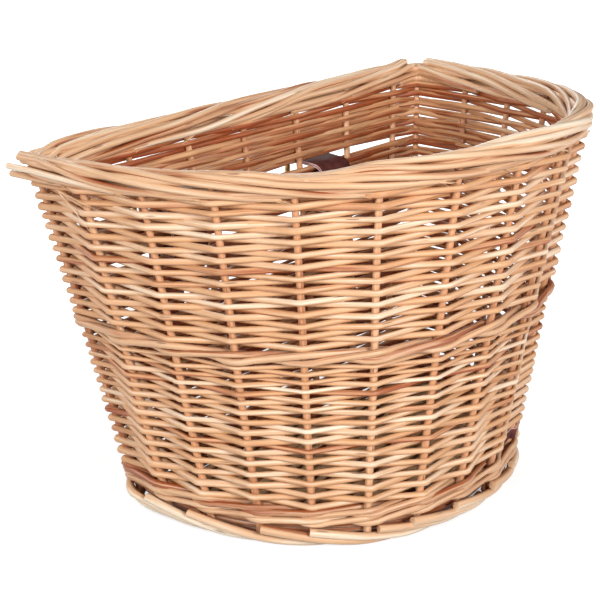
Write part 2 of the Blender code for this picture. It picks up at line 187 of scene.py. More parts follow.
@dataclass
class BasketWall:
    """The flared wall that every rod follows, with the heights of its bands up the back."""

    foot_width: float = 0.289
    foot_depth: float = 0.174
    side_flare: float = 0.048
    front_flare: float = 0.047
    back_lean: float = 0.046
    corner_radius: float = 0.013
    side_fullness: float = 0.88
    front_fullness: float = 0.97
    front_stakes: int = 13
    back_stakes: int = 7
    corner_gap: float = 0.0145
    height: float = 0.260
    front_rise: float = 0.027
    rise_power: float = 1.4
    foot_height: float = 0.018
    upsett_top: float = 0.030
    mid_wale_bottom: float = 0.132
    mid_wale_top: float = 0.144
    lower_slit: float = 0.166
    upper_slit: float = 0.200
    border_bottom: float = 0.239
    slit_opening: float = 0.006
    slit_half_span: float = 2.1
    slit_straightness: float = 5.0
    strap_from_middle: float = 1.5
    loop_station: float = 5.0
    loop_slit_station: float = 5.3
    loop_slit_half_span: float = 1.4
    loop_slit_lift: float = 0.0135
    loop_slit_fade: float = 0.060
    slit_fade: float = 0.012
    stake_radius: float = 0.0026

    def __post_init__(self) -> None:
        """Makes the plans of the foot and the rim."""
        self.rim_depth = self.foot_depth + self.front_flare + self.back_lean
        self.rim = PlanOutline(self, self.foot_width + 2 * self.side_flare, self.rim_depth, self.back_lean)
        self.foot = PlanOutline(self, self.foot_width, self.foot_depth, 0.0)
        self.stations = self.front_stakes + self.back_stakes + 2
        self.left_corner = self.front_stakes + 1
        self.back_middle = self.left_corner + 1 + (self.back_stakes - 1) / 2
        self.border_middle = (self.border_bottom + self.height) / 2

    def rim_height(self, station: Array) -> Array:
        """Gives the rim's height at each station: it rises towards the front."""
        forward = (self.back_lean - self.rim.at(station, np.zeros_like(station))[:, 1]) / self.rim_depth
        return self.height + self.front_rise * np.clip(forward, 0, 1) ** self.rise_power

    def points(
        self,
        station: float | Array,
        level: float | Array,
        offset: float | Array = 0.0,
    ) -> Array:
        """Finds points on the wall: a straight line runs up each station from foot to rim.

        Args:
            station: Places along the wall, counted in stakes.
            level: Heights up the back wall, stretched where the rim is higher.
            offset: Distances outwards from the stakes' axes.

        Returns:
            One point in space for each station.
        """
        station = np.atleast_1d(np.asarray(station, float))
        level = np.broadcast_to(np.asarray(level, float), station.shape)
        offset = np.broadcast_to(np.asarray(offset, float), station.shape)
        top = self.rim_height(station)
        stretch = np.clip((level - self.foot_height) / (self.height - self.foot_height), 0, None)
        z = level + (top - self.height) * stretch
        share = (z / top)[:, None]
        plan = self.foot.at(station, offset) * (1 - share) + self.rim.at(station, offset) * share
        return np.column_stack([plan, z])

    def parting(
        self, station: Array, centre: float, half_span: float, straightness: float = 2.0
    ) -> Array:
        """Tells how far rods are parted: 1 at the centre, 0 past the span.

        Args:
            station: Places along the wall.
            centre: Station at which the rods are parted most.
            half_span: Stations from there to where they close again.
            straightness: How long the rods stay parted before they close.

        Returns:
            The share at each station.
        """
        half = self.stations / 2
        away = np.abs(np.mod(station - centre + half, self.stations) - half) / half_span
        return np.clip(1 - away**straightness, 0, 1) ** 2

    def strap_station(self, side: Side) -> float:
        """Gives the station at which a strap goes through the wall."""
        away = self.strap_from_middle
        return self.back_middle + (away if side is Side.RIGHT else -away)

    def settled(self, station: Array, level: float) -> Array:
        """Moves a row of rods aside for the straps' slits and the front loop.

        Args:
            station: Places along the row.
            level: The row's level where nothing parts it.

        Returns:
            The row's level at each station.
        """
        slit = (self.slit_half_span, self.slit_straightness)
        opened = np.max([self.parting(station, self.strap_station(side), *slit) for side in Side], axis=0)
        shift = np.zeros_like(station)
        for place in (self.lower_slit, self.upper_slit):
            away = level - place
            fade = math.exp(-abs(away) / self.slit_fade)
            shift += math.copysign(self.slit_opening / 2, away) * opened * fade
        if level < self.mid_wale_bottom:
            loop = self.parting(station, self.loop_slit_station, self.loop_slit_half_span)
            fade = np.clip(1 - (level - self.upsett_top) / self.loop_slit_fade, 0, 1)
            shift += self.loop_slit_lift * loop * fade
        return level + shift


@dataclass
class Wobble:
    """A smooth, closed wander round the wall, for rods that no maker lays quite level."""

    seed: int
    stations: int
    waves: int = 9

    def __post_init__(self) -> None:
        """Draws the waves' sizes and phases."""
        draw = np.random.default_rng(self.seed)
        self.sizes = draw.normal(0, 1, self.waves) / np.sqrt(np.arange(1, self.waves + 1))
        self.phases = draw.uniform(0, 2 * math.pi, self.waves)
        self.sizes /= np.linalg.norm(self.sizes)

    def at(self, station: Array, shift: float = 0.0) -> Array:
        """Gives the wander, about -1 to 1, at each station.

        Args:
            station: Places along the wall.
            shift: How far the waves' phases are turned, so that near rows are alike.

        Returns:
            One value for each station.
        """
        turns = 2 * math.pi * np.outer(station, np.arange(1, self.waves + 1)) / self.stations
        return np.cos(turns + self.phases + shift * np.arange(self.waves)) @ self.sizes


@dataclass
class RodBatch:
    """Gathers swept rods into one mesh, with each rod's tone, lowered by painted shade on one side, and its
    own lengthwise UV map.
    """

    sides: int = 8
    verts: list[Array] = field(default_factory=list)
    quads: list[Array] = field(default_factory=list)
    caps: list[Array] = field(default_factory=list)
    quad_uvs: list[Array] = field(default_factory=list)
    cap_uvs: list[Array] = field(default_factory=list)
    tones: list[Array] = field(default_factory=list)
    count: int = 0

    def add(
        self,
        path: Array,
        radius: float | Array,
        tone: float | Array,
        start: float = 0.0,
        up: Sequence[float] = (0, 0, 1),
        flatness: float = 1.0,
        shade: float | Array = 0.0,
        core: Array | None = None,
    ) -> None:
        """Sweeps one rod along a path and closes its two cut ends.

        Args:
            path: Points along the rod's axis.
            radius: The rod's radius, or one for each point.
            tone: The rod's tone, from 0 for a dark rod to 1 for a pale one, or one for each point.
            start: Length at which the rod's grain starts, so that no two rods match.
            up: Direction that the rod's section keeps upright.
            flatness: Depth of the section over its height.
            shade: How much painted shade lowers the rod's tone on its hidden side, or that for each point.
            core: Points that the painted shade's side faces; without them it is the path's right side.
        """
        path = np.asarray(path, float)
        rings, sides = len(path), self.sides
        tangent = unit(np.gradient(path, axis=0))
        out = unit(np.cross(tangent, np.broadcast_to(np.asarray(up, float), path.shape)))
        rise = np.cross(out, tangent)
        angle = 2 * math.pi * np.arange(sides) / sides
        ring = (
            flatness * np.cos(angle)[None, :, None] * out[:, None]
            + np.sin(angle)[None, :, None] * rise[:, None]
        )
        girth = np.broadcast_to(np.asarray(radius, float), (rings,))
        self.verts.append((path[:, None] + girth[:, None, None] * ring).reshape(-1, 3))
        i, j = np.meshgrid(np.arange(rings - 1), np.arange(sides), indexing="ij")
        after = (j + 1) % sides
        corners = [i * sides + j, (i + 1) * sides + j, (i + 1) * sides + after, i * sides + after]
        self.quads.append(np.stack(corners, -1).reshape(-1, 4) + self.count)
        first, last = np.arange(sides), (rings - 1) * sides + np.arange(sides)
        self.caps.append(np.stack([first, last[::-1]]) + self.count)
        along = start + np.concatenate([[0], np.cumsum(np.linalg.norm(np.diff(path, axis=0), axis=1))])
        around = np.stack([j, j, j + 1, j + 1], -1) / sides
        length = np.stack([along[i], along[i + 1], along[i + 1], along[i]], -1)
        self.quad_uvs.append(np.stack([length, around], -1).reshape(-1, 2))
        ends = np.repeat([along[0], along[-1]], sides)
        self.cap_uvs.append(np.stack([ends, np.full(2 * sides, 0.5)], -1))
        # Painted shade: the tone falls on the side that faces the core, standing in for shade in crevices
        # and inside the basket.
        hidden = unit(out if core is None else core - path)
        turned = 0.5 + 0.5 * np.einsum("rsk,rk->rs", ring, hidden)
        tone, shade = (np.broadcast_to(np.asarray(v, float), (rings,))[:, None] for v in (tone, shade))
        self.tones.append((tone - shade * turned).ravel())
        self.count += rings * sides

    def to_object(self, name: str) -> Piece:
        """Turns the gathered rods into one smooth-shaded object.

        Args:
            name: The object's name.

        Returns:
            The new object, at the origin.
        """
        mesh = bpy.data.meshes.new(name)
        faces = np.concatenate(self.quads).tolist() + np.concatenate(self.caps).tolist()
        mesh.from_pydata(np.concatenate(self.verts), [], faces)
        uv = mesh.uv_layers.new(name=ROD_MAP)
        uv.data.foreach_set("uv", np.concatenate(self.quad_uvs + self.cap_uvs).astype(np.float32).ravel())
        tone = mesh.attributes.new(ROD_TONE_AND_SHADE, "FLOAT", "POINT")
        tone.data.foreach_set("value", np.concatenate(self.tones).astype(np.float32))
        mesh.shade_smooth()
        mesh.set_sharp_from_angle(angle=math.radians(50))
        rods = bpy.data.objects.new(name, mesh)
        bpy.context.scene.collection.objects.link(rods)
        return rods


def wound(stakes: Array, bend: float = 0.11) -> Array:
    """Runs a rod straight from stake to stake and rounds its bend over each.

    Args:
        stakes: The rod's axis where it passes each stake, in order.
        bend: Share of the gap on each side of a stake over which the rod bends.

    Returns:
        The rod's path.
    """
    path = [stakes[0]]
    for before, here, after in zip(stakes, stakes[1:], stakes[2:]):
        a = here + (before - here) * bend
        b = here + (after - here) * bend
        peak = 2 * here - (a + b) / 2
        path.append((before + here) / 2)
        for q in BEND_STEPS:
            path.append((1 - q) ** 2 * a + 2 * q * (1 - q) * peak + q**2 * b)
    path += [(stakes[-2] + stakes[-1]) / 2, stakes[-1]]
    return np.array(path)


def smooth_path(points: Array, steps: int) -> Array:
    """Runs a smooth curve through a few points.

    Args:
        points: Points to pass through.
        steps: Points to make between each two of them.

    Returns:
        The curve's points.
    """
    ends = np.concatenate([[2 * points[0] - points[1]], points, [2 * points[-1] - points[-2]]])
    t = (np.arange(steps) / steps)[:, None]
    curve = []
    for a, b, c, d in zip(ends, ends[1:], ends[2:], ends[3:]):
        curve.append(
            0.5 * (2 * b + (c - a) * t + (2 * a - 5 * b + 4 * c - d) * t**2 + (3 * b - a - 3 * c + d) * t**3)
        )
    return np.concatenate([*curve, points[-1:]])


class NodeBench:
    """Places and links shader nodes in a material's or a group's tree."""

    def __init__(self, tree: bpy.types.NodeTree) -> None:
        """Takes the tree to work in."""
        self.tree = tree

    def node(
        self, kind: str, feeds: Mapping[int | str, object] | None = None, **settings: object
    ) -> bpy.types.Node:
        """Adds a node.

        Args:
            kind: The node's type, without its ShaderNode prefix.
            feeds: What goes into its inputs, by number or name.
            settings: Values for the node's own properties.

        Returns:
            The new node.
        """
        made = self.tree.nodes.new(kind if kind.startswith("NodeGroup") else f"ShaderNode{kind}")
        for name, value in settings.items():
            setattr(made, name, value)
        for key, value in (feeds or {}).items():
            self.feed(made.inputs[key], value)
        return made

    def feed(self, socket: Socket, value: object) -> None:
        """Links a socket to another, or sets its value.

        Args:
            socket: The socket that is fed.
            value: Another socket, a number, or a colour or vector.
        """
        if isinstance(value, Socket):
            self.tree.links.new(value, socket)
        elif isinstance(value, tuple) and len(value) == 3 and socket.type == "RGBA":
            socket.default_value = (*value, 1.0)
        else:
            socket.default_value = value

    def math(self, operation: str, a: object, b: object = 0.0) -> Socket:
        """Adds a Math node and gives its result."""
        return self.node("Math", {0: a, 1: b}, operation=operation).outputs[0]

    def line(self, start: float, value: object, slope: float) -> Socket:
        """Gives a start plus a value times a slope."""
        return self.math("ADD", start, self.math("MULTIPLY", value, slope))

    def swing(self, value: object, size: float) -> Socket:
        """Turns a value of 0 to 1 into one to either side of 0."""
        return self.math("MULTIPLY", self.math("SUBTRACT", value, 0.5), size)

    def noise(self, place: Socket, scale: float, detail: float) -> Socket:
        """Adds a Noise Texture and gives its value, 0 to 1."""
        return self.node("TexNoise", {"Vector": place, "Scale": scale, "Detail": detail}).outputs["Fac"]

    def ramp(self, value: object, low: float, high: float) -> Socket:
        """Stretches a value from low and high to 0 and 1, with soft ends."""
        feeds = {"Value": value, "From Min": low, "From Max": high}
        return self.node("MapRange", feeds, interpolation_type="SMOOTHSTEP").outputs["Result"]

    def mix(self, share: object, a: object, b: object) -> Socket:
        """Mixes two colours and gives the result."""
        return self.node("Mix", {0: share, 6: a, 7: b}, data_type="RGBA").outputs[2]

    def bump(self, height: object, distance: float, strength: float) -> Socket:
        """Adds a Bump node and gives its normal."""
        feeds = {"Distance": distance, "Strength": strength, "Height": height}
        return self.node("Bump", feeds).outputs["Normal"]


class SurfaceEffect:
    """A shader group shared by several finishes, built once."""

    name = ""
    inputs: Mapping[str, str] = {}
    outputs: Mapping[str, str] = {"Color": "Color", "Roughness": "Float", "Height": "Float"}

    def tree(self) -> bpy.types.NodeTree:
        """Gives the group, which is built the first time that it is asked for."""
        found = bpy.data.node_groups.get(self.name)
        if found:
            return found
        made = bpy.data.node_groups.new(self.name, "ShaderNodeTree")
        for way, sockets in (("INPUT", self.inputs), ("OUTPUT", self.outputs)):
            for label, kind in sockets.items():
                made.interface.new_socket(name=label, in_out=way, socket_type=f"NodeSocket{kind}")
        bench = NodeBench(made)
        entry = bench.node("NodeGroupInput")
        leave = bench.node("NodeGroupOutput")
        for label, socket in self.lay_out(bench, entry.outputs).items():
            bench.feed(leave.inputs[label], socket)
        return made

    def lay_out(self, bench: NodeBench, given: bpy.types.bpy_prop_collection) -> dict[str, Socket]:
        """Makes the group's nodes; each effect has its own.

        Args:
            bench: The group's tree.
            given: The group's inputs.

        Returns:
            The sockets that feed the group's outputs.
        """
        raise NotImplementedError


class WillowGrain(SurfaceEffect):
    """Streaks along a peeled rod, its tone with the painted shade in it, bud scars and fine lengthwise
    lines.
    """

    name = "willow_grain"
    inputs = {
        "Along and Around": "Vector",
        "Tone": "Float",
        "Pale": "Color",
        "Middle": "Color",
        "Dark": "Color",
        "Scar": "Color",
    }

    def lay_out(self, bench: NodeBench, given: bpy.types.bpy_prop_collection) -> dict[str, Socket]:
        """Makes the group's nodes.

        Args:
            bench: The group's tree.
            given: The group's inputs.

        Returns:
            The sockets that feed the group's outputs.
        """
        parts = bench.node("SeparateXYZ", {0: given["Along and Around"]})
        turn = bench.math("MULTIPLY", parts.outputs[1], 2 * math.pi)
        axes = (parts.outputs[0], bench.math("COSINE", turn), bench.math("SINE", turn))

        def place(lengthwise: float, across: float) -> Socket:
            """Gives a place on the rod, stretched along it and across it."""
            scales = (lengthwise, across, across)
            scaled = [bench.math("MULTIPLY", axis, scale) for axis, scale in zip(axes, scales)]
            return bench.node("CombineXYZ", dict(enumerate(scaled))).outputs[0]

        slow = bench.noise(place(9.0, 0.25), 1.0, 2.0)
        streak = bench.noise(place(22.0, 1.6), 1.0, 4.0)
        fine = bench.noise(place(70.0, 5.0), 1.0, 3.0)
        tone = bench.math("ADD", given["Tone"], bench.swing(slow, 0.6))
        tone = bench.math("ADD", tone, bench.swing(streak, 1.1))
        body = bench.mix(bench.ramp(tone, 0.0, 0.5), given["Dark"], given["Middle"])
        body = bench.mix(bench.ramp(tone, 0.5, 1.05), body, given["Pale"])
        spots = bench.node("TexVoronoi", {"Vector": place(26.0, 0.45), "Scale": 1.0})
        scar = bench.math("SUBTRACT", 1.0, bench.ramp(spots.outputs["Distance"], 0.07, 0.16))
        scar = bench.math("MULTIPLY", scar, bench.ramp(streak, 0.42, 0.6))
        lines = bench.math("ADD", bench.math("MULTIPLY", fine, 0.6), bench.math("MULTIPLY", streak, 0.6))
        return {
            "Color": bench.mix(bench.math("MULTIPLY", scar, 0.75), body, given["Scar"]),
            "Roughness": bench.line(0.34, fine, 0.26),
            "Height": bench.math("SUBTRACT", lines, scar),
        }


class LeatherGrain(SurfaceEffect):
    """Fine pebbled grain and mottling of waxed leather."""

    name = "leather_grain"
    inputs = {"Place": "Vector", "Deep": "Color", "Worn": "Color"}

    def lay_out(self, bench: NodeBench, given: bpy.types.bpy_prop_collection) -> dict[str, Socket]:
        """Makes the group's nodes.

        Args:
            bench: The group's tree.
            given: The group's inputs.

        Returns:
            The sockets that feed the group's outputs.
        """
        place = given["Place"]
        pebbles = bench.node("TexVoronoi", {"Vector": place, "Scale": 900.0}, feature="SMOOTH_F1")
        mottle = bench.noise(place, 120.0, 5.0)
        creases = bench.math("MULTIPLY", bench.noise(place, 420.0, 3.0), 0.8)
        return {
            "Color": bench.mix(bench.ramp(mottle, 0.35, 0.72), given["Deep"], given["Worn"]),
            "Roughness": bench.line(0.58, mottle, 0.22),
            "Height": bench.math("ADD", pebbles.outputs["Distance"], creases),
        }


@dataclass(frozen=True)
class Finish:
    """A look, which becomes a material the first time that it is used."""

    name: str

    def material(self) -> bpy.types.Material:
        """Gives this finish as a material, built once."""
        found = bpy.data.materials.get(self.name)
        if found:
            return found
        made = bpy.data.materials.new(self.name)
        made.use_nodes = True
        bench = NodeBench(made.node_tree)
        shader = made.node_tree.nodes["Principled BSDF"]
        for label, value in self.surface(bench).items():
            bench.feed(shader.inputs[label], value)
        return made

    def surface(self, bench: NodeBench) -> dict[str, object]:
        """Gives what feeds each of the shader's sockets; each kind of finish has its own."""
        raise NotImplementedError

    @staticmethod
    def grained(
        bench: NodeBench, effect: SurfaceEffect, feeds: Mapping[str, object], bump: float, strength: float
    ) -> dict[str, object]:
        """Lays a shared effect over the surface.

        Args:
            bench: The material's tree.
            effect: The effect.
            feeds: What goes into the effect's inputs.
            bump: How far its relief reaches.
            strength: How strongly the relief shows.

        Returns:
            What feeds the shader's colour, roughness and normal.
        """
        grain = bench.node("Group", feeds, node_tree=effect.tree()).outputs
        return {
            "Base Color": grain["Color"],
            "Roughness": grain["Roughness"],
            "Normal": bench.bump(grain["Height"], bump, strength),
        }


@dataclass(frozen=True)
class WillowFinish(Finish):
    """Peeled, boiled willow in one range of tones."""

    pale: Color
    middle: Color
    dark: Color
    scar: Color = srgb(104, 62, 38)
    bump: float = 0.00028
    strength: float = 0.6
    gloss: float = 0.6

    def surface(self, bench: NodeBench) -> dict[str, object]:
        """Feeds the rods' grain with their map, their tone with its painted shade, and this finish's
        colours.

        Args:
            bench: The material's tree.

        Returns:
            What feeds each of the shader's sockets.
        """
        feeds = {
            "Along and Around": bench.node("UVMap", uv_map=ROD_MAP).outputs["UV"],
            "Tone": bench.node("Attribute", attribute_name=ROD_TONE_AND_SHADE).outputs["Fac"],
            "Pale": self.pale,
            "Middle": self.middle,
            "Dark": self.dark,
            "Scar": self.scar,
        }
        grain = self.grained(bench, WillowGrain(), feeds, self.bump, self.strength)
        return {**grain, "Specular IOR Level": self.gloss}


@dataclass(frozen=True)
class LeatherFinish(Finish):
    """Waxed strap leather, its paler cut edge, or thread."""

    deep: Color
    worn: Color
    bump: float = 0.00025
    strength: float = 0.5
    gloss: float = 0.1

    def surface(self, bench: NodeBench) -> dict[str, object]:
        """Feeds the leather's grain with its place and this finish's colours.

        Args:
            bench: The material's tree.

        Returns:
            What feeds each of the shader's sockets.
        """
        place = bench.node("TexCoord").outputs["Object"]
        feeds = {"Place": place, "Deep": self.deep, "Worn": self.worn}
        grain = self.grained(bench, LeatherGrain(), feeds, self.bump, self.strength)
        return {**grain, "Specular IOR Level": self.gloss}


@dataclass(frozen=True)
class BrassFinish(Finish):
    """Dull cast brass with a little tarnish."""

    name: str = "dull_brass"
    bright: Color = srgb(196, 160, 96)
    tarnish: Color = srgb(128, 98, 58)
    bump: float = 0.0001
    strength: float = 0.3

    def surface(self, bench: NodeBench) -> dict[str, object]:
        """Mixes bright metal and tarnish in spots, under fine scratches.

        Args:
            bench: The material's tree.

        Returns:
            What feeds each of the shader's sockets.
        """
        place = bench.node("TexCoord").outputs["Object"]
        spots = bench.noise(place, 260.0, 4.0)
        scratch = bench.noise(place, 1800.0, 2.0)
        return {
            "Base Color": bench.mix(bench.ramp(spots, 0.4, 0.7), self.bright, self.tarnish),
            "Roughness": bench.line(0.24, bench.math("ADD", spots, scratch), 0.14),
            "Metallic": 1.0,
            "Normal": bench.bump(scratch, self.bump, self.strength),
        }


# Each dark colour is both the darkest rods' own colour and the colour that painted shade takes rods towards.
WEAVE_WILLOW = WillowFinish("weave_willow", srgb(232, 210, 184), srgb(206, 155, 110), srgb(148, 68, 24))
BORDER_WILLOW = WillowFinish("border_willow", srgb(233, 216, 192), srgb(208, 165, 126), srgb(146, 72, 30))
STAKE_WILLOW = WillowFinish("stake_willow", srgb(232, 190, 150), srgb(212, 156, 114), srgb(160, 92, 56))
# Painted shade: the floor's willow is darkened to stand for the shade inside the basket, seen through gaps
# in the wall.
FLOOR_WILLOW_IN_PAINTED_SHADE = WillowFinish(
    "floor_willow", srgb(150, 88, 56), srgb(116, 60, 36), srgb(80, 36, 20), gloss=0.15
)
FIBRE_WILLOW = WillowFinish("fibre_willow", srgb(226, 190, 150), srgb(198, 150, 108), srgb(150, 98, 62))
STRAP_LEATHER = LeatherFinish("strap_leather", srgb(82, 43, 41), srgb(106, 62, 56))
CUT_LEATHER = LeatherFinish("cut_leather", srgb(204, 164, 160), srgb(228, 196, 190))
STITCH_THREAD = LeatherFinish("stitch_thread", srgb(94, 62, 50), srgb(126, 88, 70))
BRASS = BrassFinish()


def paint(piece: Piece, *finishes: Finish) -> None:
    """Gives a piece its finishes, one to each of its material slots in turn.

    Args:
        piece: The piece.
        finishes: Its finishes.
    """
    piece.data.materials.clear()
    for finish in finishes:
        piece.data.materials.append(finish.material())


def select_only(*pieces: Piece) -> None:
    """Leaves edit mode and selects these pieces alone, the first of them active.

    Args:
        pieces: What is selected; with none, everything is deselected.
    """
    if bpy.context.object and bpy.context.object.mode != "OBJECT":
        bpy.ops.object.mode_set(mode="OBJECT")
    bpy.ops.object.select_all(action="DESELECT")
    for piece in pieces:
        piece.select_set(True)
    if pieces:
        bpy.context.view_layer.objects.active = pieces[0]


def primitive(kind: str, **settings: object) -> Piece:
    """Adds one of Blender's mesh primitives, alone selected.

    Args:
        kind: The primitive, such as plane.
        settings: Its size, place and the like.

    Returns:
        The new piece.
    """
    select_only()
    getattr(bpy.ops.mesh, f"primitive_{kind}_add")(**settings)
    return bpy.context.object


def apply_all(piece: Piece) -> None:
    """Applies a piece's modifiers in order, and its place and turn to its mesh.

    Args:
        piece: The piece, which is left selected and active.
    """
    select_only(piece)
    for name in [modifier.name for modifier in piece.modifiers]:
        bpy.ops.object.modifier_apply(modifier=name)
    bpy.ops.object.transform_apply(location=True, rotation=True, scale=True)


def join_as(name: str, pieces: Sequence[Piece]) -> Piece:
    """Joins finished meshes into one piece.

    Args:
        name: The piece's name.
        pieces: What is joined; the first keeps its materials' order.

    Returns:
        The joined piece.
    """
    select_only(*pieces)
    bpy.ops.object.join()
    pieces[0].name = name
    pieces[0].data.name = name
    return pieces[0]


class Fitting(NamedTuple):
    """A piece, what it is finished in, the CAD nodes it stands for, its material slot and its body."""

    piece: Piece
    finish: Finish | None
    nodes: tuple[str, ...]
    slot: str
    body: str


@dataclass
class SubAssembly:
    """Pieces that are made together and then dressed."""

    fittings: list[Fitting] = field(default_factory=list, init=False)

    def build(self) -> None:
        """Makes the pieces; each sub-assembly has its own way."""
        raise NotImplementedError

    def keep(
        self,
        piece: Piece,
        finish: Finish | None,
        slot: str,
        *nodes: str,
        body: str = "basket",
    ) -> None:
        """Takes in a piece, to be dressed when all are made.

        Args:
            piece: The piece.
            finish: Its finish, or nothing if it is painted already.
            slot: The record's material slot.
            nodes: The CAD nodes that it stands for.
            body: The body that it moves with.
        """
        self.fittings.append(Fitting(piece, finish, nodes, slot, body))

    def dress(self) -> None:
        """Finishes each piece and sets it on its body, in the place of its CAD nodes."""
        for fitting in self.fittings:
            if fitting.finish:
                paint(fitting.piece, fitting.finish)
            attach(fitting.piece, fitting.body)
            if fitting.nodes:
                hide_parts(*fitting.nodes)


def drawn_tone(draw: Draw, middle: float, spread: float, low: float = 0.0) -> float:
    """Draws a rod's tone, kept between low and 1."""
    return float(np.clip(draw.normal(middle, spread), low, 1.0))


def grain_start(draw: Draw) -> float:
    """Draws the length at which a rod's grain starts."""
    return draw.uniform(0, GRAIN_SPAN)


@dataclass
class Stakes(SubAssembly):
    """The upright rods, from their sockets in the foot to the rim border."""

    wall: BasketWall
    socket: float = 0.012
    butt_radius: float = 0.0028
    tip_radius: float = 0.0023
    bend: float = 0.0005
    nudge: float = 0.01
    points: int = 14
    tones: Pair = (0.25, 0.75)
    seed: int = 11

    def build(self) -> None:
        """Makes one rod for each stake, none of them quite straight."""
        draw = np.random.default_rng(self.seed)
        low, high = self.wall.foot_height - self.socket, self.wall.border_bottom + self.socket
        share = np.linspace(0, 1, self.points)
        radius = np.linspace(self.butt_radius, self.tip_radius, self.points)
        for station in range(self.wall.stations):
            sway = np.sin(math.pi * share) * np.sin(share * draw.uniform(4, 9) + draw.uniform(0, 6))
            path = self.wall.points(np.full(self.points, float(station)), low + (high - low) * share)
            here, beside = self.wall.points([station, station + self.nudge], low)
            aside = unit(beside - here)
            path += np.outer(sway * self.bend, aside)
            batch = RodBatch(sides=10)
            batch.add(path, radius, draw.uniform(*self.tones), grain_start(draw), up=aside)
            stake = batch.to_object(f"willow_stake_{station + 1:02d}")
            self.keep(stake, STAKE_WILLOW, "peeled_willow", f"stake_{station + 1:02d}")


@dataclass
class WovenRows(SubAssembly):
    """Rows of single rods, each before one stake and behind the next, between two wales."""

    wall: BasketWall
    prefix: str
    bottom: float
    top: float
    rows: int
    course_tops: Sequence[float]
    rod_radius: float
    seed: int
    thinning: float = 0.0
    taper: float = 0.12
    flatness: float = 0.94
    radius_spread: float = 0.06
    offset_spread: float = 0.05
    drift: float = 0.0007
    drift_turn: float = 0.09
    unevenness: float = 0.00022
    calm_edge: float = 0.012
    calmest: float = 0.25
    tuck: float = 0.0019
    tuck_fade: float = 2.5
    packing: float = 0.07
    end_lift: float = 0.0012
    end_share: float = 0.93
    tone: tuple[float, float, float] = (0.68, 0.12, 0.34)
    # Painted shade: rods along the back are darker, where the inside lies in shade.
    painted_back_shade: float = 0.08
    # Painted shade: each rod is darker on its lower, inner side, and more so lower down the wall.
    painted_under_shade: float = 0.52
    painted_low_shade: float = 0.15
    low_span: float = 0.1
    under: Pair = (0.016, 0.020)

    def build(self) -> None:
        """Makes each course's rows as one piece, the upper rows of thinner rods."""
        draw = np.random.default_rng(self.seed)
        drift = Wobble(self.seed + 1, self.wall.stations)
        weights = np.linspace(1 + self.thinning, 1 - self.thinning, self.rows)
        shares = np.concatenate([[0], np.cumsum(weights)])
        edges = self.bottom + (self.top - self.bottom) * shares / self.rows
        batches = [RodBatch() for _ in self.course_tops]
        for row, weight in enumerate(weights):
            level = float(edges[row] + edges[row + 1]) / 2
            course = int(np.searchsorted(self.course_tops, level))
            radius = self.rod_radius * float(weight) * draw.normal(1.0, self.radius_spread)
            self.add_row(batches[course], row, level, radius, draw, drift)
        for number, batch in enumerate(batches, 1):
            course = batch.to_object(f"woven_{self.prefix}_{number}")
            self.keep(course, WEAVE_WILLOW, "buff_willow", f"{self.prefix}_course_{number}")

    def packed(self, stake: Array) -> Array:
        """Tells how closely rows are packed: 1 along the back, fading to 0 round the sides."""
        place = stake % self.wall.stations
        from_corner = np.minimum(place, self.wall.left_corner - place)
        return np.clip(1 - from_corner / self.tuck_fade, 0, 1)

    def add_row(
        self,
        batch: RodBatch,
        row: int,
        level: float,
        radius: float,
        draw: Draw,
        drift: Wobble,
    ) -> None:
        """Weaves one rod round the basket, its two ends left behind one stake.

        Args:
            batch: The course's rods.
            row: The row's number, which sets the stakes that it passes in front of.
            level: The row's height.
            radius: The rod's radius.
            draw: Random numbers.
            drift: The slow wander that near rows share.
        """
        stations = self.wall.stations
        start = 2 * int(draw.integers(0, stations // 2)) + (row + 1) % 2
        stake = np.arange(start, start + stations + 3, dtype=float)
        side = np.where((stake + row) % 2 == 0, 1.0, -1.0)
        lift = self.wall.settled(stake, level)
        edge = np.clip(min(level - self.bottom, self.top - level) / self.calm_edge, self.calmest, 1)
        lift = lift + edge * self.drift * drift.at(stake, row * self.drift_turn)
        lift = lift + self.unevenness * draw.normal(0, 1, len(stake))
        packed = self.packed(stake)
        lift = lift - edge * self.tuck * side * packed
        offset = self.wall.stake_radius + radius * draw.normal(1.0, self.offset_spread, len(stake))
        offset = side * offset
        ends = np.linspace(-1, 1, len(stake))
        lift = lift + self.end_lift * np.where(np.abs(ends) > self.end_share, np.sign(ends), 0)
        path = wound(self.wall.points(stake, lift, offset))
        # The painted shade's side faces down and into the basket.
        core = wound(self.wall.points(stake, lift - self.under[0], offset - self.under[1]))
        girth = radius * np.linspace(1 + self.taper, 1 - self.taper, len(path))
        if draw.random() < 0.5:
            girth = girth[::-1]
        packed = np.interp(np.linspace(-1, 1, len(path)), ends, packed)
        girth = girth * (1 + self.packing * packed)
        # Painted shade: rods along the back get a lower tone.
        tone = drawn_tone(draw, *self.tone) - self.painted_back_shade * packed**3
        # Painted shade on the lower, inner side, deeper towards the bottom.
        low = np.clip((self.wall.upper_slit - level) / self.low_span, 0, 1)
        shade = self.painted_under_shade + self.painted_low_shade * low
        batch.add(path, girth, tone, grain_start(draw), flatness=self.flatness, shade=shade, core=core)


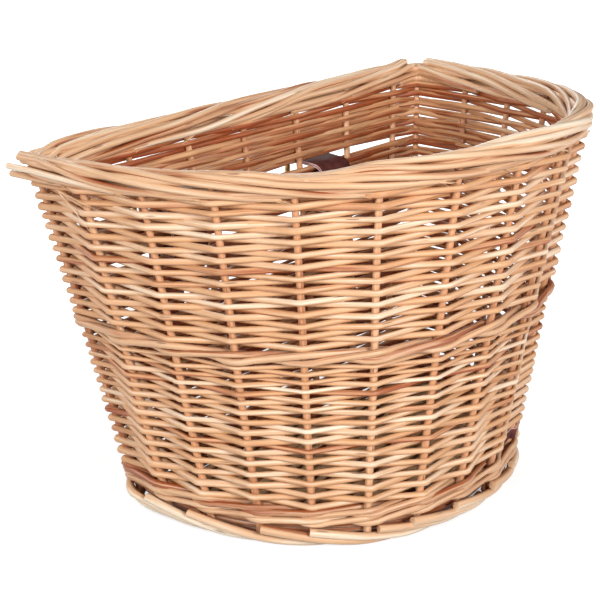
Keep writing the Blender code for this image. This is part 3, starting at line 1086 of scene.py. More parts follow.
@dataclass
class Wale(SubAssembly):
    """Three rods worked together: each goes before two stakes and behind the third."""

    wall: BasketWall
    node: str
    levels: Sequence[float]
    lay_height: float
    rod_radius: float
    seed: int
    rods_in_round: int = 5
    radius_spread: float = 0.05
    taper: Pair = (1.1, 0.9)
    bend: float = 0.3
    wander: float = 0.0006
    unevenness: float = 0.0003
    core_depth: float = 0.02
    # The wale's low tone is partly its rods' deeper colour and partly painted shade.
    tone: Pair = (0.42, 0.13)
    # Painted shade on each rod's inner side.
    painted_inner_shade: float = 0.4

    def build(self) -> None:
        """Works each round as one long path, cut into rods that end behind a stake."""
        draw = np.random.default_rng(self.seed)
        batch = RodBatch(sides=10)
        wander = Wobble(self.seed + 1, self.wall.stations)
        cuts = np.linspace(0, self.wall.stations, self.rods_in_round + 1).astype(int) * len(Reach)
        for level in self.levels:
            for first, last in zip(cuts, cuts[1:]):
                self.add_rod(batch, np.arange(first, last + 1), level, draw, wander)
        self.keep(batch.to_object(f"waled_{self.node}"), BORDER_WILLOW, "bound_willow", self.node)

    def add_rod(
        self, batch: RodBatch, step: Array, level: float, draw: Draw, wander: Wobble
    ) -> None:
        """Lays one rod of the wale.

        Args:
            batch: The wale's rods.
            step: The stakes that it meets, counted from the round's start.
            level: The round's height.
            draw: Random numbers.
            wander: The round's unevenness.
        """
        radius = self.rod_radius * draw.normal(1.0, self.radius_spread)
        rise, outward = np.array([reach.value for reach in Reach])[step % len(Reach)].T
        station = -step.astype(float)
        height = level + self.lay_height * rise + self.wander * wander.at(station)
        height = height + self.unevenness * draw.normal(0, 1, len(step))
        offset = outward * (self.wall.stake_radius + radius)
        path = wound(self.wall.points(station, height, offset), self.bend)
        # The painted shade's side faces into the basket.
        core = wound(self.wall.points(station, height, offset - self.core_depth), self.bend)
        girth = radius * np.linspace(*self.taper, len(path))
        tone = drawn_tone(draw, *self.tone)
        batch.add(path, girth, tone, grain_start(draw), shade=self.painted_inner_shade, core=core)


@dataclass(frozen=True)
class BorderRun:
    """One run of the border, worked towards lower stations, and how its rods end at the corners."""

    first: float
    last: float
    start_angle: float
    end_angle: float
    start_reach: float
    end_reach: float
    start_lift: float
    end_lift: float


@dataclass
class RimBorder(SubAssembly):
    """Long rods laid over one another round the rim, each winding once over the border's top."""

    wall: BasketWall
    runs: Sequence[BorderRun] = (
        BorderRun(13.77, 0.23, 238, -52, 0.030, 0.013, -0.002, 0.0008),
        BorderRun(21.59, 14.41, -40, 238, 0.005, 0.012, 0.0008, -0.003),
    )
    lay: float = 7.2
    steps: int = 61
    fewest_steps: int = 4
    half_depth: float = 0.0064
    half_height: float = 0.0078
    butt_radius: float = 0.0028
    tip_radius: float = 0.0021
    radius_spread: float = 0.05
    packing: Sequence[Pair] = (
        (0.0034, 0.0036),
        (-0.0034, 0.0036),
        (0.0036, -0.0042),
        (-0.0036, -0.0042),
    )
    packing_radius: float = 0.0028
    packing_sway: float = 0.0004
    packing_tones: Pair = (0.3, 0.5)
    packing_steps: int = 240
    packing_overlap: float = 0.4
    first_rod: float = 0.6
    last_rod: float = 0.4
    spacing_spread: float = 0.12
    turn_spread: float = 0.2
    swell: float = 0.11
    swell_turn: float = 1.7
    lift_span: float = 1.1
    lead: float = 1.0
    stagger: float = 0.4
    start_spread: Pair = (-0.003, 0.004)
    end_spread: Pair = (-0.002, 0.003)
    core_share: float = 0.3
    tip_taper: Pair = (0.8, 0.55)
    tone: Pair = (0.66, 0.15)
    # Painted shade on each rod's side that faces the border's core.
    painted_inner_shade: float = 0.55
    dip: float = 0.0035
    dip_station: float = 9.75
    dip_half_span: float = 0.75
    seed: int = 71
    tips: list[Pair] = field(default_factory=list)

    def build(self) -> None:
        """Lays the packing rods and then both runs."""
        batch = RodBatch(sides=10)
        draw = np.random.default_rng(self.seed)
        loop = np.linspace(0, self.wall.stations + self.packing_overlap, self.packing_steps)
        for across, up in self.packing:
            sway = self.packing_sway * self.drawn_wobble(draw).at(loop)
            path = self.wall.points(loop, self.wall.border_middle + up + sway, across)
            batch.add(path, self.packing_radius, draw.uniform(*self.packing_tones), grain_start(draw))
        for run in self.runs:
            first, last = run.first + self.lay - self.first_rod, run.last + self.last_rod
            for origin in np.arange(first, last, -1.0):
                moved = draw.uniform(-self.spacing_spread, self.spacing_spread)
                self.add_rod(batch, run, float(origin) + moved, draw)
        self.keep(batch.to_object("laid_rim_border"), BORDER_WILLOW, "bound_willow", "rim_border")

    def drawn_wobble(self, draw: Draw, waves: int = 9) -> Wobble:
        """Draws a wander of a rod's own."""
        return Wobble(int(draw.integers(1, 9999)), self.wall.stations, waves)

    def add_rod(self, batch: RodBatch, run: BorderRun, origin: float, draw: Draw) -> None:
        """Lays one rod, cut off where its run ends at a corner.

        Args:
            batch: The border's rods.
            run: The run that it belongs to.
            origin: Station at which its full length would start.
            draw: Random numbers.
        """
        along = np.linspace(0, 1, self.steps)
        station = origin - self.lay * along
        inside = (station <= run.first) & (station >= run.last)
        if inside.sum() < self.fewest_steps:
            return
        along, station = along[inside], station[inside]
        wander = self.drawn_wobble(draw, waves=12)
        angle = np.radians(run.start_angle + (run.end_angle - run.start_angle) * along)
        angle = angle + self.turn_spread * wander.at(station)
        swell = 1 + self.swell * wander.at(station, self.swell_turn)
        offset = self.half_depth * np.cos(angle) * swell
        rise = self.half_height * np.sin(angle) * swell
        for lift, away in ((run.start_lift, run.first - station), (run.end_lift, station - run.last)):
            rise = rise + lift * np.clip(1 - away / self.lift_span, 0, 1) ** 2
        thin = self.wall.parting(station, self.dip_station, self.dip_half_span)
        rise = rise - self.dip * thin * np.clip(np.sin(angle), 0, 1)
        middle = self.wall.border_middle
        ends = self.wall.points([run.first - self.lead, run.first, run.last, run.last + self.lead], middle)
        start_share, end_share = 1 - self.stagger * np.clip(np.sin(angle[[0, -1]]), 0, 1)
        start_reach = run.start_reach * start_share + draw.uniform(*self.start_spread)
        end_reach = run.end_reach * end_share + draw.uniform(*self.end_spread)
        start, end = unit(ends[1] - ends[0]) * start_reach, unit(ends[2] - ends[3]) * end_reach
        core = self.wall.points(station, middle + self.core_share * rise, self.core_share * offset)
        core = self.extended(core, start, end)
        cut_start, cut_end = origin > run.first, origin - self.lay < run.last
        path = self.wall.points(station, middle + rise, offset)
        path = self.extended(path, start if cut_start else None, end if cut_end else None)
        along = np.concatenate([along[:1], along[:1], along, along[-1:], along[-1:]])
        girth = self.butt_radius + (self.tip_radius - self.butt_radius) * along
        girth = girth * draw.normal(1.0, self.radius_spread)
        if not cut_end:
            girth[-2:] *= self.tip_taper
            self.tips.append((float(station[-1]), float(angle[-1])))
        tone = drawn_tone(draw, *self.tone)
        # Painted shade towards the border's core, none on the ends that stick out past a corner.
        shade = np.full(len(path), self.painted_inner_shade)
        shade[[0, 1, -2, -1]] = 0.0
        batch.add(path, girth, tone, grain_start(draw), shade=shade, core=core)

    @staticmethod
    def extended(
        path: Array, start: Array | None, end: Array | None, stub: float = 0.001
    ) -> Array:
        """Carries a path on past its ends, two points at each.

        Args:
            path: The path.
            start: How far and which way it goes on before its first point, or nothing for a stub.
            end: The same past its last point.
            stub: A stub's length.

        Returns:
            The longer path.
        """
        before = start if start is not None else stub * unit(path[0] - path[1])
        after = end if end is not None else stub * unit(path[-1] - path[-2])
        head = [path[0] + before * share for share in (1.0, 0.5)]
        tail = [path[-1] + after * share for share in (0.5, 1.0)]
        return np.concatenate([head, path, tail])


@dataclass
class FootBorder(SubAssembly):
    """Thick rods round the foot, each running down under the next, and hoops that hold the floor."""

    wall: BasketWall
    butt_radius: float = 0.0031
    tip_radius: float = 0.0026
    radius_spread: float = 0.04
    along: Sequence[float] = (-0.1, 0.35, 0.8, 1.25, 1.7, 2.2, 2.7)
    offsets: Sequence[float] = (0.0080, 0.0077, 0.0068, 0.0054, 0.0036, 0.0008, -0.0024)
    heights: Sequence[float] = (0.0148, 0.0128, 0.0098, 0.0068, 0.0047, 0.0036, 0.0033)
    steps: int = 6
    sway: float = 0.0004
    lowest_sway: float = -0.0002
    spacing_spread: float = 0.25
    core_rise: float = 0.008
    core_depth: float = 0.02
    # The high tone is partly the foot rods' paler colour and partly painted light on rods that sit in the
    # shade of the flared wall.
    tone: Pair = (0.82, 0.14)
    # Painted shade on each rod's inner side.
    painted_inner_shade: float = 0.6
    hoops: Sequence[tuple[float, float, float]] = (
        (-0.0098, 0.0029, 0.0028),
        (-0.0064, 0.0092, 0.0030),
        (-0.0034, 0.0158, 0.0036),
    )
    hoop_steps: int = 200
    hoop_overlap: float = 0.8
    hoop_climb: float = 0.0014
    # The hoops' low tone makes them dark: painted shade where they show through gaps low in the wall.
    hoop_tone: float = 0.1
    hoop_grain: float = 3.0
    seed: int = 91

    def build(self) -> None:
        """Lays one rod from each stake, and the hoops."""
        draw = np.random.default_rng(self.seed)
        batch = RodBatch(sides=12)
        along, offset, height = (np.array(v) for v in (self.along, self.offsets, self.heights))
        for station in range(self.wall.stations):
            sway = draw.normal(0, self.sway, len(along))
            places = station - along + draw.uniform(-self.spacing_spread, self.spacing_spread)
            stops = self.wall.points(places, height + np.maximum(sway, self.lowest_sway), offset + sway)
            path = smooth_path(stops, self.steps)
            deep = self.wall.points(places, height + self.core_rise, offset - self.core_depth)
            core = smooth_path(deep, self.steps)
            girth = np.linspace(self.butt_radius, self.tip_radius, len(path))
            girth = girth * draw.normal(1.0, self.radius_spread)
            tone = drawn_tone(draw, *self.tone)
            batch.add(path, girth, tone, grain_start(draw), shade=self.painted_inner_shade, core=core)
        ring = np.linspace(0, self.wall.stations + self.hoop_overlap, self.hoop_steps)
        for inward, low, radius in self.hoops:
            hoop = self.wall.points(ring, np.linspace(low, low + self.hoop_climb, len(ring)), inward)
            batch.add(hoop, radius, self.hoop_tone, self.hoop_grain)
        self.keep(batch.to_object("laid_foot_border"), BORDER_WILLOW, "bound_willow", "foot_border")


@dataclass
class WovenFloor(SubAssembly):
    """Rods woven from side to side over and under five sticks."""

    wall: BasketWall
    sticks: int = 5
    stick_pitch: float = 0.038
    stick_radius: float = 0.0026
    stick_steps: int = 9
    stick_tones: Pair = (0.3, 0.6)
    stick_inset: float = 0.002
    rod_radius: float = 0.0022
    radius_spread: float = 0.05
    bend: float = 0.25
    sway: float = 0.0003
    tone: Pair = (0.5, 0.2)
    middle: float = 0.0103
    edge_level: float = 0.006
    edge_offset: float = -0.0082
    edge_steps: int = 600
    row_pitch: float = 0.0044
    front_inset: float = 0.004
    back_inset: float = 0.002
    end_inset: float = 0.002
    row_reach: float = 0.004
    hold: float = 0.006
    seed: int = 131

    def build(self) -> None:
        """Weaves the floor and lays its sticks."""
        draw = np.random.default_rng(self.seed)
        round_edge = np.linspace(0, self.wall.stations, self.edge_steps)
        edge = self.wall.points(round_edge, self.edge_level, self.edge_offset)[:, :2]
        places = (np.arange(self.sticks) - (self.sticks - 1) / 2) * self.stick_pitch
        floor = self.woven(edge, places, draw)
        # The floor's rods are painted dark, as shade inside the basket.
        self.keep(floor, FLOOR_WILLOW_IN_PAINTED_SHADE, "floor_willow", "floor_panel")
        back = edge[:, 1].max()
        front = edge[edge[:, 1] < back - self.wall.corner_radius]
        front = front[np.argsort(front[:, 0])]
        steps = self.stick_steps
        for number, x in enumerate(places, 1):
            start = float(np.interp(x, front[:, 0], front[:, 1])) + self.stick_inset
            line = [np.full(steps, x), np.linspace(start, back, steps), np.full(steps, self.middle)]
            batch = RodBatch(sides=10)
            tone = draw.uniform(*self.stick_tones)
            batch.add(np.column_stack(line), self.stick_radius, tone, grain_start(draw))
            stick = batch.to_object(f"willow_floor_stick_{number}")
            self.keep(stick, STAKE_WILLOW, "peeled_willow", f"floor_stick_{number}")

    def woven(self, edge: Array, places: Array, draw: Draw) -> Piece:
        """Weaves the floor's rods from side to side.

        Args:
            edge: The floor's edge in plan.
            places: Each stick's place from side to side.
            draw: Random numbers.

        Returns:
            The rods as one piece.
        """
        batch = RodBatch(sides=8)
        low, high = edge[:, 1].min() + self.front_inset, edge[:, 1].max() - self.back_inset
        rows = int((high - low) / self.row_pitch)
        for row in range(rows):
            y = low + (row + 0.5) * (high - low) / rows
            near = np.abs(edge[:, 1] - y) < self.row_reach
            reach = float(np.abs(edge[near][:, 0]).max()) - self.end_inset
            stops = [-reach, *[x for x in places if abs(x) < reach - self.hold], reach]
            side = [(-1.0) ** (row + i) for i in range(len(stops))]
            side[0] = side[-1] = 0.0
            lift = self.middle + np.array(side) * (self.stick_radius + self.rod_radius)
            sway = draw.normal(0, self.sway, len(stops))
            path = wound(np.column_stack([stops, y + sway, lift]), self.bend)
            tone = drawn_tone(draw, *self.tone)
            radius = self.rod_radius * draw.normal(1, self.radius_spread)
            batch.add(path, radius, tone, grain_start(draw))
        return batch.to_object("woven_floor")


@dataclass
class LooseFibres(SubAssembly):
    """Split fibres at the tips of the rim's rods, and a tuft that hangs under the left of the rim."""

    wall: BasketWall
    rim: RimBorder
    splinters: int = 3
    splinter_runs: Pair = (0.12, 0.34)
    splinter_drops: Pair = (0.000, 0.004)
    splinter_start: float = 0.1
    splinter_offset: float = 0.0012
    tuft: int = 7
    tuft_runs: Pair = (0.15, 0.7)
    tuft_drops: Pair = (0.006, 0.026)
    tuft_station: float = 13.3
    tuft_offset: float = 0.0075
    radius: float = 0.00036
    taper: Sequence[float] = (1.0, 0.9, 0.7, 0.35)
    shares: Sequence[float] = (0, 0.33, 0.66, 1.0)
    bow: Sequence[float] = (0, 1, 1.2, 0.8)
    bows: Pair = (0.0002, 0.0016)
    droop: float = 1.3
    steps: int = 4
    tones: Pair = (0.5, 1.0)
    seed: int = 173

    def build(self) -> None:
        """Makes the fibres."""
        draw = np.random.default_rng(self.seed)
        batch = RodBatch(sides=5)
        for station, angle in self.rim.tips:
            level = self.wall.border_middle + self.rim.half_height * math.sin(angle)
            out = self.rim.half_depth * math.cos(angle)
            out += math.copysign(self.splinter_offset, out)
            held = (station + self.splinter_start, level, out)
            for _ in range(self.splinters):
                self.add_fibre(batch, held, self.splinter_runs, self.splinter_drops, draw)
        held = (self.tuft_station, self.wall.border_bottom, self.tuft_offset)
        for _ in range(self.tuft):
            self.add_fibre(batch, held, self.tuft_runs, self.tuft_drops, draw)
        self.keep(batch.to_object("split_fibres"), FIBRE_WILLOW, "bound_willow")

    def add_fibre(
        self,
        batch: RodBatch,
        held: tuple[float, float, float],
        runs: Pair,
        drops: Pair,
        draw: Draw,
    ) -> None:
        """Lays one thin fibre from where it is held.

        Args:
            batch: The fibres.
            held: The station, level and offset that it starts at.
            runs: The fewest and most stations that it runs back along.
            drops: The least and most that it hangs down.
            draw: Random numbers.
        """
        station, level, offset = held
        run, drop = draw.uniform(*runs), draw.uniform(*drops)
        share = np.array(self.shares)
        bow = np.array(self.bow) * draw.uniform(*self.bows) * math.copysign(1, offset)
        path = self.wall.points(station - run * share, level - drop * share**self.droop, offset + bow)
        path = smooth_path(path, self.steps)
        place = np.linspace(0, len(share) - 1, len(path))
        girth = np.interp(place, range(len(share)), self.radius * np.array(self.taper))
        batch.add(path, girth, draw.uniform(*self.tones), grain_start(draw))


def strip(name: str, path: Array, x: float, width: float) -> Piece:
    """Models a strip without thickness: an edge extruded along a path.

    Args:
        name: The strip's name.
        path: Its middle line as (y, z) pairs.
        x: Its middle from side to side.
        width: Its width.

    Returns:
        The strip.
    """
    start = (x, *path[0])
    piece = primitive("plane", size=width, location=start)
    piece.name = name
    bpy.ops.object.transform_apply(location=True, rotation=True, scale=True)
    bpy.ops.object.mode_set(mode="EDIT")
    bpy.ops.mesh.select_all(action="SELECT")
    bpy.ops.transform.resize(value=(1, 0, 1), center_override=start)
    bpy.ops.mesh.remove_doubles(threshold=0.0001)
    for (y0, z0), (y1, z1) in zip(path, path[1:]):
        bpy.ops.mesh.extrude_region_move(TRANSFORM_OT_translate={"value": (0, y1 - y0, z1 - z0)})
    bpy.ops.mesh.select_all(action="SELECT")
    bpy.ops.mesh.normals_make_consistent(inside=False)
    bpy.ops.object.mode_set(mode="OBJECT")
    return piece


def thicken(piece: Piece, thickness: float, softening: float, even: bool = True) -> None:
    """Gives a strip its thickness to both sides, and soft edges.

    Args:
        piece: The strip.
        thickness: Its thickness.
        softening: The width of its softened edges.
        even: Whether bends keep the full thickness.
    """
    wall = piece.modifiers.new("thickness", "SOLIDIFY")
    wall.thickness = thickness
    wall.offset = 0.0
    wall.use_even_offset = even
    edge = piece.modifiers.new("softened", "BEVEL")
    edge.width = softening
    edge.segments = 2
    edge.limit_method = "ANGLE"
    edge.angle_limit = math.radians(60)
    apply_all(piece)


def finish_strip(piece: Piece, across: Sequence[float] = (1, 0, 0)) -> None:
    """Paints a strip's faces and its cut edges, and shades it smooth.

    Args:
        piece: The strip.
        across: The direction that its cut edges face.
    """
    paint(piece, STRAP_LEATHER, CUT_LEATHER)
    for face in piece.data.polygons:
        face.material_index = int(abs(np.dot(face.normal, across)) > CUT_EDGE_FACING)
    select_only(piece)
    bpy.ops.object.shade_smooth_by_angle(angle=math.radians(40))


def offset_path(path: Array, distance: float) -> Array:
    """Moves a (y, z) path to its left by a distance."""
    tangent = unit(np.gradient(path, axis=0))
    return path + distance * np.stack([-tangent[:, 1], tangent[:, 0]], -1)


def arc(centre: Pair, radius: float, start: float, end: float, count: int) -> Array:
    """Gives points on an arc in the (y, z) plane, from one angle in degrees to another."""
    angles = np.radians(np.linspace(start, end, count))
    return np.stack([centre[0] + radius * np.cos(angles), centre[1] + radius * np.sin(angles)], -1)


@dataclass
class LeatherStrap(SubAssembly):
    """One two-layer strap: through the wall, down its inside, out again and hanging as a tail."""

    wall: BasketWall
    side: Side
    width: float = 0.030
    layer: float = 0.0015
    softening: float = 0.3
    seam: float = 0.0001
    arch_radius: float = 0.008
    inner: float = -0.0075
    bar_stand_off: float = 0.020
    stand_off: float = 0.012
    hinge_gap: float = 0.0019
    eye_radius: float = 0.0042
    lip: float = -0.001
    tail_length: float = 0.140
    tail_point: float = 0.014
    tail_bend: float = 0.004
    tail_lap: float = 0.0005
    tail_steps: int = 30
    holes: int = 5
    hole_pitch: float = 0.018
    hole_radius: float = 0.002
    first_hole: float = 0.016
    cutter_depth: float = 0.02
    notch_half: float = 0.0035
    stitch_count: int = 7
    stitch_half_span: float = 0.011
    stitch_gap: float = 0.0022
    stitch_radius: float = 0.0005
    stitch_shape: tuple[float, float, float] = (2.4, 1.0, 3.9)
    tail: Piece | None = field(default=None, init=False)

    def __post_init__(self) -> None:
        """Finds the strap's place on the wall."""
        upper, lower = self.wall.upper_slit, self.wall.lower_slit
        station = self.wall.strap_station(self.side)
        self.x = float(self.wall.points(station, (upper + lower) / 2)[0][0])
        self.top_y = float(self.wall.points(station, upper)[0][1])
        self.bottom_y = float(self.wall.points(station, lower)[0][1])
        self.top_z, self.bottom_z = upper + self.lip, lower + self.lip
        self.low = self.bottom_z - self.tail_length
        self.bar = (self.top_y + self.bar_stand_off, self.top_z)
        self.hinge = (self.bottom_y + self.stand_off + self.hinge_gap, self.bottom_z)

    def saddle_path(self) -> Array:
        """Gives the strap's middle line from the buckle's bar, through the wall and out again."""
        top_y, bottom_y = self.top_y + self.inner, self.bottom_y + self.inner
        gap = np.linspace(self.bar[0] - self.eye_radius, top_y, 6)[:-1]
        over = np.column_stack([gap, np.full(5, self.top_z)])
        first = arc((top_y, self.top_z - self.arch_radius), self.arch_radius, 90, 180, 9)
        second = arc((bottom_y, self.bottom_z + self.arch_radius), self.arch_radius, 180, 270, 9)
        down = np.linspace(0, 1, 4)[1:-1, None]
        run = first[-1] * (1 - down) + second[0] * down
        out = np.linspace(bottom_y, self.hinge[0] - self.tail_bend, 5)[1:]
        leave = np.column_stack([out, np.full(4, self.bottom_z)])
        return np.concatenate([over, first, run, second, leave])

    def tail_path(self) -> Array:
        """Gives the tail's middle line: over a short bend and straight down."""
        y, z = self.hinge[0] - self.tail_bend, self.bottom_z - self.tail_bend
        turn = arc((y, z), self.tail_bend, 90, 0, 8)
        steps = np.linspace(z, self.low, self.tail_steps)[1:]
        hang = np.column_stack([np.full(len(steps), self.hinge[0]), steps])
        return np.concatenate([[[y - self.tail_lap, self.bottom_z]], turn, hang])

    def leather(self, name: str, path: Array, x: float, width: float) -> Piece:
        """Models one layer of leather.

        Args:
            name: The layer's name.
            path: Its middle line as (y, z) pairs.
            x: Its middle from side to side.
            width: Its width.

        Returns:
            The layer, painted.
        """
        piece = strip(name, path, x, width)
        thicken(piece, self.layer, self.layer * self.softening)
        finish_strip(piece)
        return piece

    def layers(self, path: Array) -> list[Piece]:
        """Models the two layers to either side of a path."""
        paths = [offset_path(path, sign * (self.layer + self.seam) / 2) for sign in (1, -1)]
        return [self.leather("layer", side, self.x, self.width) for side in paths]

    def build(self) -> None:
        """Models the part through the wall, the hanging tail and the stitches."""
        name = self.side.value
        saddle = join_as(f"{name}_leather_saddle", [*self.layers(self.saddle_path()), self.eye()])
        self.keep(saddle, None, "leather", f"{name}_strap_saddle")
        layers = self.layers(self.tail_path())
        for layer in layers:
            self.shape_tail(layer)
        self.tail = join_as(f"{name}_leather_tail", layers)
        self.keep(self.stitches(), STITCH_THREAD, "leather")

    def eye(self) -> Piece:
        """Models the fold round the buckle's bar, in two lugs beside the prong's notch."""
        ring = arc(self.bar, self.eye_radius - self.layer / 2, 180, -180, 25)
        width = self.width / 2 - self.notch_half
        middles = [self.x + sign * (self.notch_half + width / 2) for sign in (-1, 1)]
        return join_as("eye", [self.leather("lug", ring, middle, width) for middle in middles])

    def shape_tail(self, piece: Piece) -> None:
        """Cuts a layer's end to its point and punches its holes.

        Args:
            piece: The layer.
        """
        half, y = self.width / 2, self.hinge[0]
        slope = math.atan2(self.tail_point, half)
        reach = self.tail_point * math.cos(slope)
        cutters = []
        for sign in (-1, 1):
            down = Vector((sign * math.sin(slope), 0, -math.cos(slope)))
            edge = Vector((self.x + sign * half / 2, y, self.low + self.tail_point / 2))
            cutter = primitive("cube", size=1, location=edge + down * reach)
            cutter.scale = (3 * half, self.cutter_depth, 2 * reach)
            cutter.rotation_euler = (0, -sign * slope, 0)
            cutters.append(cutter)
        for number in range(self.holes):
            z = self.low + self.tail_point + self.first_hole + number * self.hole_pitch
            size = {"radius": self.hole_radius, "depth": self.cutter_depth}
            cutter = primitive("cylinder", vertices=20, location=(self.x, y, z), **size)
            cutter.rotation_euler = (math.pi / 2, 0, 0)
            cutters.append(cutter)
        for cutter in cutters:
            cut = piece.modifiers.new("cut", "BOOLEAN")
            cut.object = cutter
            cut.solver = "EXACT"
        apply_all(piece)
        for cutter in cutters:
            bpy.data.objects.remove(cutter, do_unlink=True)
        finish_strip(piece)

    def stitches(self) -> Piece:
        """Sews the two layers together beside the eye."""
        y = self.bar[0] - self.eye_radius - self.stitch_gap
        made = []
        for across in np.linspace(-self.stitch_half_span, self.stitch_half_span, self.stitch_count):
            place = (self.x + across, y, self.top_z)
            size = {"segments": 8, "ring_count": 6, "radius": self.stitch_radius}
            stitch = primitive("uv_sphere", location=place, **size)
            stitch.scale = self.stitch_shape
            apply_all(stitch)
            bpy.ops.object.shade_smooth()
            made.append(stitch)
        return join_as(f"{self.side.value}_strap_stitches", made)

    def dress(self) -> None:
        """Sets the strap on the basket, bakes the tail's place into its mesh and hides the CAD tail that it
        replaces.
        """
        super().dress()
        name = self.side.value
        tail = self.tail
        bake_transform(tail)
        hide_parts(f"{name}_strap_tail")


@dataclass
class Buckle(SubAssembly):
    """A brass frame that swings on the strap's eye, and its prong."""

    strap: LeatherStrap
    bar_radius: float = 0.002
    drop: float = 0.022
    side_gap: float = 0.001
    corner: float = 0.0035
    prong_radius: float = 0.0012
    prong_gap: float = 0.0003
    prong_overhang: float = 0.003
    prong_flatness: float = 0.8
    prong_tip: tuple[float, float, float] = (0.95, 0.8, 0.5)

    def build(self) -> None:
        """Models the frame and the prong."""
        name = self.strap.side.value
        self.keep(self.frame(), BRASS, "brass", f"{name}_buckle_frame", body=f"{name}_buckle")
        self.keep(self.prong(), BRASS, "brass", f"{name}_buckle_prong", body=f"{name}_prong")

    def frame(self) -> Piece:
        """Bends round wire into the frame, its corners rounded."""
        half = self.strap.width / 2 + self.side_gap + self.bar_radius
        y, z = self.strap.bar
        wire = primitive("plane", size=1, location=(self.strap.x, y, z - self.drop / 2))
        wire.rotation_euler = (math.pi / 2, 0, 0)
        wire.scale = (2 * half, self.drop, 1)
        bpy.ops.object.transform_apply(location=True, rotation=True, scale=True)
        bpy.ops.object.mode_set(mode="EDIT")
        bpy.ops.mesh.select_all(action="SELECT")
        bpy.ops.mesh.bevel(offset=self.corner, segments=6, affect="VERTICES")
        bpy.ops.mesh.delete(type="ONLY_FACE")
        bpy.ops.object.mode_set(mode="OBJECT")
        bpy.ops.object.convert(target="CURVE")
        wire = bpy.context.object
        wire.data.dimensions = "3D"
        wire.data.bevel_depth = self.bar_radius
        wire.data.bevel_resolution = 5
        bpy.ops.object.convert(target="MESH")
        bpy.context.object.name = f"{self.strap.side.value}_brass_frame"
        bpy.ops.object.shade_smooth()
        return bpy.context.object

    def prong(self) -> Piece:
        """Bends round wire over the bar and down past the frame's lower side."""
        y, z = self.strap.bar
        reach = self.bar_radius + self.prong_gap + self.prong_radius
        turn = arc((y, z), reach, 250, 0, 18)
        low = z - self.drop - self.prong_overhang
        down = np.column_stack([np.full(12, y + reach), np.linspace(z, low, 13)[1:]])
        line = np.concatenate([turn, down])
        path = np.column_stack([np.full(len(line), self.strap.x), line])
        girth = np.full(len(path), self.prong_radius)
        girth[-len(self.prong_tip) :] *= self.prong_tip
        batch = RodBatch(sides=12)
        batch.add(path, girth, 0.5, up=(1, 0, 0), flatness=self.prong_flatness)
        return batch.to_object(f"{self.strap.side.value}_brass_prong")


@dataclass
class FrontLoop(SubAssembly):
    """A small leather strip folded round one stake low on the front, its two ends laid together."""

    wall: BasketWall
    height: float = 0.008
    lift: float = 0.0022
    tab_length: float = 0.024
    tab_bend: float = 0.6
    tab_half_gap: float = 0.00085
    thickness: float = 0.0015
    softening: float = 0.0004
    stake_gap: float = 0.0005
    ring: tuple[float, float, int] = (18, 342, 22)

    def build(self) -> None:
        """Bends a strip round the stake and lays its two ends against each other."""
        station, level = self.wall.loop_station, self.wall.upsett_top
        low, ahead = self.wall.points([station, station + 1], level)
        axis = unit(self.wall.points(station, self.wall.border_bottom)[0] - low)
        ahead = ahead - low
        ahead = unit(ahead - axis * (ahead @ axis))
        outward = np.cross(axis, ahead)
        radius = self.wall.stake_radius + self.stake_gap + self.thickness / 2
        tab = [(share * self.tab_length, self.tab_half_gap) for share in (1.0, self.tab_bend)]
        ends = [(along, -gap) for along, gap in reversed(tab)]
        line = np.concatenate([tab, arc((0, 0), radius, *self.ring), ends])
        piece = strip("leather_front_loop", line, 0.0, self.height)
        centre = low + axis * (self.lift + self.height / 2)
        for vertex in piece.data.vertices:
            x, a, b = vertex.co
            vertex.co = Vector(centre + axis * x + ahead * a + outward * b)
        thicken(piece, self.thickness, self.softening, even=False)
        finish_strip(piece, axis)
        self.keep(piece, None, "leather", "front_loop")


class Lamp(NamedTuple):
    """A square lamp: its name, where it hangs, the length of its side and its power in watts."""

    name: str
    place: tuple[float, float, float]
    size: float
    power: float


